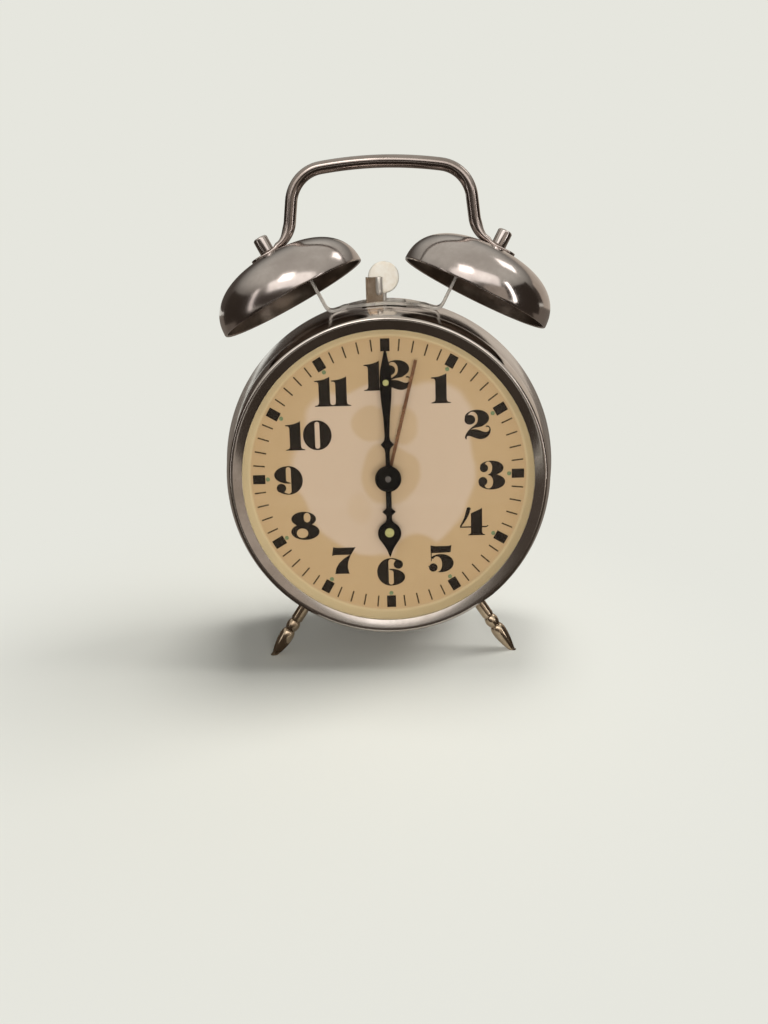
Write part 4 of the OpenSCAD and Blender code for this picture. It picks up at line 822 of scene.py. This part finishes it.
outer = [(glass_edge * i / 24, dome_y(glass_edge * i / 24)) for i in range(25)]
inner_edge = glass_edge - 0.3
inner = [(inner_edge * i / 24, dome_y(inner_edge * i / 24) + glass_thick) for i in range(24, -1, -1)]
rim = [(glass_edge, glass_seat), (glass_flange, glass_seat), (glass_flange, glass_seat + glass_thick),
       (inner_edge, glass_seat + glass_thick)]
bm = bmesh.new()
turned(bm, outer + rim + inner, along_axis, steps=160)
piece("crystal", bm, "clock", "crystal", [crystal], "glass")

# ---- Bezel ---------------------------------------------------------------------------
# A spun ring of nickelled sheet that snaps over the neck of the case. Its rolled front rim
# stands proud, and its lip slopes in to hold the crystal. The plating has a brighter polish.
# Polished nickel plate: bright, with clear reflections and a few brown pits.
bright_nickel = plated("polished_nickel_plate", "#D0C6BF", "#B4A9A0", (0.08, 0.17), 24,
                       wave_um=6, pits=0.25)
lip_r, rim_r, rim_y = 48.4, 51.9, 7.5
bezel_section = [
    (lip_r, -6.58, 0.08), (51.25, -7.5, 0.45), (rim_r, -rim_y - 0.05, 0.3), (52.5, -7.15, 0.35),
    (53.0, -6.0, 0.6), (case_r - 0.85, -3.75, 0.8), (case_r - 0.25, -1.5, 0.8), (case_r + 0.12, 0.3, 0.3),
    (case_r + 0.25, 1.2, 0.12), (neck_r + 0.1, 1.2, 0), (neck_r + 0.1, -3.2, 0), (50.9, -5.0, 0),
    (50.9, -6.45, 0), (lip_r, -6.45, 0)]
bm = bmesh.new()
turned(bm, rounded(bezel_section, 6), along_axis, steps=224)
piece("bezel_ring", bm, "clock", "nickel_plate", [bright_nickel], "bezel")

# ---- Legs ----------------------------------------------------------------------------
# Two turned legs, splayed to the sides, each screwed through the case wall into a nut. Brass
# under a thin nickel coat that has worn to a bronze brown.
# Bronzed nickel: warm grey-brown with a soft gloss and darker spots.
bronzed = plated("bronzed_nickel", "#C9B59D", "#A08C75", (0.16, 0.30), 8, pits=0.3)
leg_splay, leg_reach, leg_r, spindle_r, leg_y = math.radians(33.5), 76.7, 2.05, 2.5, 5.5
leg_top = case_at(leg_y) - 2
bead = eased([(leg_r * 0.84, -14.9), (leg_r * 1.0, -14.3), (leg_r * 1.13, -13.3), (leg_r * 1.13, -12.6),
              (leg_r * 1.02, -11.6), (leg_r * 0.86, -10.95)])
spindle = eased([(leg_r * 0.86, -10.85), (spindle_r * 0.88, -10.2), (spindle_r, -9.0), (spindle_r, -7.4),
                 (spindle_r * 0.9, -5.2), (spindle_r * 0.72, -3.0), (spindle_r * 0.54, -1.3),
                 (spindle_r * 0.44, -0.4), (spindle_r * 0.40, 1.2)])
barrel = rounded([(leg_r, leg_top - leg_reach, 0), (leg_r, -15.4, 0.25), (leg_r * 0.84, -15.0, 0.1)], 4)[:-6]
leg_profile = [Vector((0, leg_top))] + [Vector((p.x, p.y + leg_reach)) for p in barrel + bead + spindle]
leg_profile.append(Vector((0, leg_reach + 1.2)))
for side, name in ((-1, "left_leg"), (1, "right_leg")):
    place = (Matrix.Rotation(side * (math.pi - leg_splay), 4, "Y") @ Matrix.Translation((0, leg_y, 0)))
    bm = bmesh.new()
    turned(bm, leg_profile, place, steps=48)
    leg = piece(name + "_turned", bm, "clock", "bronzed_nickel", [bronzed], name)
    for vertex in leg.data.vertices:
        vertex.co.z = max(vertex.co.z, 0.0)

# ---- Bell bracket --------------------------------------------------------------------
# One strap of bright steel, laid round the case top and bent up under each bell, held by two
# flush rivets. A slot in it lets hammer and stop lever through; studs clamp the bells on it.
# Bright strip steel: pale and clean with a soft gloss. Half metallic, as it stays pale all over.
bright_steel = plated("bright_strip_steel", "#DDD6CC", "#C2B9AD", (0.16, 0.30), 14, pits=0.1, metallic=0.5)
bell_tilt, bell_seat, bell_y = math.radians(27.5), 67.6, 18.0
bell_r, bell_h, bell_n, bell_sheet, land_r = 26.85, 16.6, 2.35, 0.9, 5.5
crown_h = bell_h * (1 - (land_r / bell_r) ** bell_n) ** (1 / bell_n)
crown_z = bell_seat + crown_h
strap_t, strap_gap, chamfer, riser_x, foot_end = 1.05, 0.05, 0.14, 8.4, 4.2
lay_steps, narrow_from = 14, 6
strap_front, strap_back, riser_front, riser_back = 12.0, 22.2, 16.2, 20.6
foot_z = crown_z - bell_sheet - 2.2 - strap_t / 2


def tilted(p):
    """From a bell's own upright axis to the clock, for a point in x and z."""
    return Vector((p[0] * math.cos(bell_tilt) + p[1] * math.sin(bell_tilt),
                   p[1] * math.cos(bell_tilt) - p[0] * math.sin(bell_tilt)))


def strap_line(wide_y, narrow_y):
    """One edge of half the strap: along the flaring case, up the riser and out under the bell."""
    out = []
    r = case_at(narrow_y) + strap_gap + strap_t / 2
    riser_low = math.sqrt(r ** 2 - riser_x ** 2)
    last = math.atan2(riser_x, riser_low) + 0.10
    corners = []
    for k in range(lay_steps + 1):
        a = bell_tilt - (bell_tilt - last) * k / lay_steps
        # the strap is wide round its slot and narrows to the risers
        t = min(max((k - narrow_from) / (lay_steps - narrow_from), 0), 1)
        y = wide_y + (narrow_y - wide_y) * t * t * (3 - 2 * t)
        r = case_at(y) + strap_gap + strap_t / 2
        corners.append((-r * math.sin(a), r * math.cos(a), 0))
        out.append(y)
    corners += [(-riser_x, riser_low, 2.6), (-riser_x, foot_z, 2.0), (foot_end, foot_z, 0)]
    line = [tilted(p) for p in rounded(corners, 7)]
    return [(p, out[min(i, lay_steps)]) for i, p in enumerate(line)]


front_line, back_line = strap_line(strap_front, riser_front), strap_line(strap_back, riser_back)
half = []
for i in range(len(front_line)):
    ring = []
    for line, inset in ((front_line, 1), (back_line, -1)):
        p, depth = line[i]
        way = (line[min(i + 1, len(line) - 1)][0] - line[max(i - 1, 0)][0]).normalized()
        if i == 0:
            way = Vector((1.0, 0.0))
        side = Vector((-way.y, way.x))
        corners = [(depth + inset * chamfer, strap_t / 2), (depth, strap_t / 2 - chamfer),
                   (depth, chamfer - strap_t / 2), (depth + inset * chamfer, -strap_t / 2)]
        for y, off in corners if inset > 0 else corners[::-1]:
            ring.append(Vector((p.x + side.x * off, y, p.y + side.y * off)))
    half.append(ring)
bm = bmesh.new()
mirrored = [[Vector((-p.x, p.y, p.z)) for p in ring] for ring in half[:0:-1]]
rings = [[bm.verts.new(p) for p in ring] for ring in mirrored + half]
for a, b in zip(rings, rings[1:]):
    walled(bm, a, b)
bm.faces.new(rings[0])
bm.faces.new(rings[-1])
strip = punched(meshed("bracket_strip", bm), slot_w, strap_front + 1.3, slot_back, 1.5)
seated("bell_bracket_strip", strip, "clock", "steel", [bright_steel], "bell_bracket", crease=28)
rivet_a, case_top = math.radians(13.5), case_at(bell_y)
rivet = [(0, strap_t + 0.42), (0.9, strap_t + 0.38), (1.5, strap_t + 0.25), (1.75, strap_t + 0.06),
         (1.75, strap_t - 0.3), (1.0, strap_t - 0.5), (1.0, -1.0), (1.7, -1.0), (1.6, -1.5), (0, -1.6)]
bm = bmesh.new()
for side in (-1, 1):
    place = (Matrix.Rotation(side * rivet_a, 4, "Y") @ Matrix.Translation((0, bell_y, case_top))
             @ Matrix.Rotation(case_flare, 4, "X"))
    turned(bm, rivet, place, steps=32)
piece("flush_rivets", bm, "clock", "steel", [bright_steel], "bracket_rivets")
dressed(bright_steel, "bell_studs", "bell_spacers")

# ---- Bells ---------------------------------------------------------------------------
# Two gongs pressed from sheet steel, nickelled outside and dull inside, their hollow painted darker and
# browner as shade. Each is clamped at its crown on the bracket's stud.
# Bare pressed steel, dull: brownish grey with no clear reflections, and darker than the nickel outside as
# painted shade in the hollow.
dull_shaded_inside = plated("dull_shaded_bell_inside", "#9A8D82", "#7B6E63", (0.26, 0.40), 8)


def gong(r, h, top):
    """Points up a bell's curve from its rim to the flat at its crown."""
    points = []
    for i in range(61):
        u = math.radians(90 * i / 60)
        p = (r * max(math.cos(u), 0) ** (2 / bell_n), h * math.sin(u) ** (2 / bell_n))
        if p[0] > land_r + 0.1 and p[1] < top:
            points.append(p)
    return points


skin = gong(bell_r, bell_h, crown_h - 0.02)
lining = gong(bell_r - bell_sheet, bell_h - bell_sheet, crown_h - bell_sheet - 0.02)
hole_r = 1.6
bell_profile = (skin + [(land_r, crown_h), (hole_r, crown_h), (hole_r, crown_h - bell_sheet),
                        (land_r, crown_h - bell_sheet)] + lining[::-1])
# the rolled rim is half round
rim_mid, rim_half = bell_r - bell_sheet / 2, 0.42
bell_profile = arc(rim_mid, rim_half, bell_sheet / 2, rim_half, 180, 360, 8) + bell_profile[1:-1]
inner_from = bell_profile.index((hole_r, crown_h - bell_sheet))
bell_faces = [1 if i >= inner_from or i == 0 else 0 for i in range(len(bell_profile))]
for side, name in ((-1, "left_bell"), (1, "right_bell")):
    place = (Matrix.Rotation(side * bell_tilt, 4, "Y") @ Matrix.Translation((0, bell_y, bell_seat)))
    bm = bmesh.new()
    turned(bm, bell_profile, place, steps=160, surfaces=bell_faces)
    piece(name + "_gong", bm, "clock", "nickel_plate", [worn_nickel, dull_shaded_inside], name)

# ---- Handle --------------------------------------------------------------------------
# One bent rod over the two bells. Its ends are hammered flat into eyes that the bell nuts
# clamp onto the crowns. Nickel plated as the case is.
# Nickel on the handle: a little darker than on the case, with an even gloss.
handle_darker_nickel = plated("handle_darker_nickel_plate", "#A1958F", "#877B74", (0.10, 0.20), 22, pits=0.08)
handle_top, handle_r, shoulder_r, foot_r = 104.3, 2.1, 12.0, 9.0
arch_r, arch_a = 140.0, math.radians(8.2)
side_a, foot_a = math.radians(83.5), bell_tilt
tab_low, tab_thick, tab_end, tab_wide = crown_z + 0.05, 1.3, 6.4, 3.6
rod_end = Vector((-4.2, crown_z + handle_r + 0.25))


def bend(r, a, b):
    """Step taken by a bend of that radius from one heading below level to another."""
    return Vector((math.sin(b) - math.sin(a), math.cos(b) - math.cos(a))) * r


arch_end = Vector((arch_r * math.sin(arch_a), handle_top - arch_r * (1 - math.cos(arch_a))))
rest = tilted(rod_end) - arch_end - bend(shoulder_r, arch_a, side_a) + bend(foot_r, side_a, foot_a)
spread = math.sin(side_a - arch_a)
arch_run = (rest.x * math.sin(side_a) + rest.y * math.cos(side_a)) / spread
side_run = (-rest.y * math.cos(arch_a) - rest.x * math.sin(arch_a)) / spread
path = [Vector((arch_r * math.sin(arch_a * k / 16), handle_top - arch_r * (1 - math.cos(arch_a * k / 16))))
        for k in range(17)]
path += [arch_end + Vector((math.cos(arch_a), -math.sin(arch_a))) * arch_run * k / 6 for k in range(1, 7)]
corner = path[-1]
path += [corner + bend(shoulder_r, arch_a, arch_a + (side_a - arch_a) * k / 14) for k in range(1, 15)]
corner = path[-1]
path += [corner + Vector((math.cos(side_a), -math.sin(side_a))) * side_run * k / 8 for k in range(1, 9)]
corner = path[-1]
path += [corner - bend(foot_r, side_a, side_a + (foot_a - side_a) * k / 10) for k in range(1, 11)]
# the rod is round, and is hammered wider and thinner over its last bend
thinned, widened = 0.85, 0.45
sections = [(p, handle_r, handle_r, 2.0) for p in path[:-9]]
for k in range(9):
    share = (k / 8) ** 2 * (3 - 2 * k / 8)
    thick = handle_r - thinned * share
    heading = side_a + (foot_a - side_a) * (k + 2) / 10
    low = Vector((math.sin(heading), math.cos(heading))) * (thick - handle_r)
    sections.append((path[k - 9] + low, handle_r + widened * share, thick, 2.0 + 0.3 * share))
# the flattened eye, by its place along the crown: half width, half thickness, squareness
for x, wide, thick, square in ((-3.4, 2.75, 1.10, 2.5), (-2.6, 2.95, 0.93, 2.8), (-1.8, 3.15, 0.78, 3.2),
                               (-0.8, 3.4, tab_thick / 2, 3.8)):
    sections.append((tilted((x, tab_low + thick)), wide, thick, square))
for k in range(9):
    x = 0.6 + (tab_end - 0.62) * math.sin(math.radians(90) * k / 8)
    wide = math.sqrt(max(tab_wide ** 2 - max(x - tab_end + tab_wide, 0) ** 2, 0.01))
    sections.append((tilted((x, tab_low + tab_thick / 2)), wide, tab_thick / 2, 4.0))
whole = [(Vector((-p.x, p.y)), w, t, s) for p, w, t, s in reversed(sections[1:])] + sections
around = 32
bm = bmesh.new()
rings = []
for i, (p, wide, thick, square) in enumerate(whole):
    way = (whole[min(i + 1, len(whole) - 1)][0] - whole[max(i - 1, 0)][0]).normalized()
    if abs(p.x) > abs(path[-1].x) + 0.3:
        way = Vector((math.cos(foot_a), math.copysign(math.sin(foot_a), -p.x)))
    up = Vector((-way.y, way.x))
    ring = []
    for k in range(around):
        a = math.tau * k / around
        u = math.copysign(abs(math.cos(a)) ** (2 / square), math.cos(a)) * wide
        v = math.copysign(abs(math.sin(a)) ** (2 / square), math.sin(a)) * thick
        ring.append(bm.verts.new((p.x + up.x * v, bell_y + u, p.y + up.y * v)))
    rings.append(ring)
for a, b in zip(rings, rings[1:]):
    walled(bm, a, b)
bm.faces.new(rings[0])
bm.faces.new(rings[-1])
piece("carrying_handle", bm, "clock", "nickel_plate", [handle_darker_nickel], "handle", crease=50)

# ---- Bell nuts -----------------------------------------------------------------------
# Tall round nuts with a low domed head, turned and nickelled, that clamp eye and bell.
nut_r, nut_h = 2.55, 5.7
nut_z = tab_low + tab_thick + 0.05
nut_profile = ([Vector((0, nut_z))]
               + rounded([(nut_r - 0.2, nut_z, 0.0), (nut_r, nut_z + 0.25, 0.12),
                          (nut_r, nut_z + nut_h - 0.6, 0.3), (nut_r * 0.78, nut_z + nut_h - 0.12, 0.3)], 5)
               + [Vector((0, nut_z + nut_h))])
bm = bmesh.new()
for side in (-1, 1):
    place = Matrix.Rotation(side * bell_tilt, 4, "Y") @ Matrix.Translation((0, bell_y, 0))
    turned(bm, nut_profile, place, steps=48)
piece("bell_nuts_turned", bm, "clock", "nickel_plate", [worn_nickel], "bell_nuts")

# ---- Hammer and stop lever -----------------------------------------------------------
# The hammer is a slightly domed disc of polished steel on a wire stem. The stop lever is a strip
# of steel folded into a channel where it stands out of the case top to be pushed aside.
# Polished steel painted nearly white all over, a painted reflection of bright light, with a soft gloss.
polished_steel_painted_white = plated("polished_steel_painted_white", "#F7F1E4", "#E6D9C4", (0.30, 0.42), 5, pits=0.1, metallic=0.1)
# Nickel on the stop lever: darker and browner than the rest.
lever_darker_nickel = plated("lever_darker_nickel_plate", "#B9A58F", "#8F7A65", (0.10, 0.2), 4, pits=0.2, metallic=0.6)
dressed(bright_steel, "hammer_arm")
hammer_z, hammer_r, hammer_front, hammer_back = 66.5, 5.3, 16.8, 19.2
disc = rounded([(0, hammer_front - 0.16, 0), (hammer_r * 0.6, hammer_front - 0.1, 1.2),
                (hammer_r, hammer_front + 0.1, 0.5), (hammer_r, hammer_back - 0.1, 0.5),
                (hammer_r * 0.6, hammer_back + 0.1, 1.2), (0, hammer_back + 0.16, 0)])
bm = bmesh.new()
turned(bm, disc, Matrix.Translation((0, 0, hammer_z)) @ along_axis, steps=96)
piece("hammer_disc", bm, "hammer_group", "steel", [polished_steel_painted_white], "hammer_head", crease=60)
stop_x, stop_z, boss_r, pivot_r = -4.5, 31.0, 3.0, 1.26
arm_x0, arm_x1, lever_front, lever_back, jog_z = -5.45, -1.05, 10.0, 11.0, 51.0
tab_x0, tab_x1, tab_top = -6.1, -0.4, 66.4
web_back, fold_front, fold_t = 16.2, 13.3, 0.85
roll_x, roll_y, roll_r = tab_x1 - 1.2, fold_front + 1.2, 1.2
bm = bmesh.new()
channel = rounded([(tab_x0, fold_front + 0.6, 0.2), (tab_x0 + 0.6, fold_front + 0.6, 0.2),
                   (tab_x0 + 0.6, web_back - fold_t - 0.1, 0.4), (roll_x, roll_y + 0.3, 0.2),
                   (tab_x1, roll_y + 0.2, 0.2), (tab_x1, web_back - 0.9, 0.6), (tab_x1 - 1.0, web_back, 0.8),
                   (tab_x0 + 0.4, web_back, 0.5), (tab_x0, web_back - 0.8, 0.3)], 4)
# drawn lying down, then stood up: depth and height change places
prism(bm, [tuple(p) for p in channel], jog_z, tab_top)
bm.transform(Matrix(((1, 0, 0, 0), (0, 0, 1, 0), (0, 1, 0, 0), (0, 0, 0, 1))))
# the edge is rolled over forwards, and the roll takes the paler strip steel: a painted highlight for its
# bright rims
roll_low, roll_from = 60.2, 61.6
roll = ([(0.0, roll_low)] + arc(0, roll_from, roll_r, 1.4, -78, 0, 8)
        + arc(0, tab_top - 0.3, roll_r, 0.5, 0, 78, 6) + [(0.0, tab_top + 0.2)])
turned(bm, roll, Matrix.Translation((roll_x, roll_y, 0)), steps=40, surfaces=[1] * len(roll))
arm = arc(stop_x, stop_z, boss_r, boss_r, 160, 380) + [(arm_x1, jog_z + 1), (arm_x0, jog_z + 1)]
prism(bm, arm, lever_back, lever_front, [arc(stop_x, stop_z, pivot_r, pivot_r, 0, 350)])
prism(bm, [(arm_x0, jog_z), (arm_x1, jog_z), (arm_x1, jog_z + 1), (arm_x0, jog_z + 1)],
      web_back - 0.1, lever_front)
piece("stop_lever_folded", bm, "stop_group", "steel", [lever_darker_nickel, bright_steel], "stop_lever", crease=40)

# ---- Back ----------------------------------------------------------------------------
# The pressed back cover with its three screws, two butterfly winding keys, two fluted setting
# knobs and the tip of the regulator, all nickelled steel.
dressed(worn_nickel, "back_cover")
# Barrelled nickel on the small parts: paler, with a satin gloss.
satin_nickel = plated("satin_nickel", "#E6E1D9", "#CBC4BA", (0.26, 0.38), 6, pits=0.1, metallic=0.7)
dressed(satin_nickel, "time_key", "alarm_key", "time_set_knob", "alarm_set_knob")
dressed(bright_steel, "cover_screws")
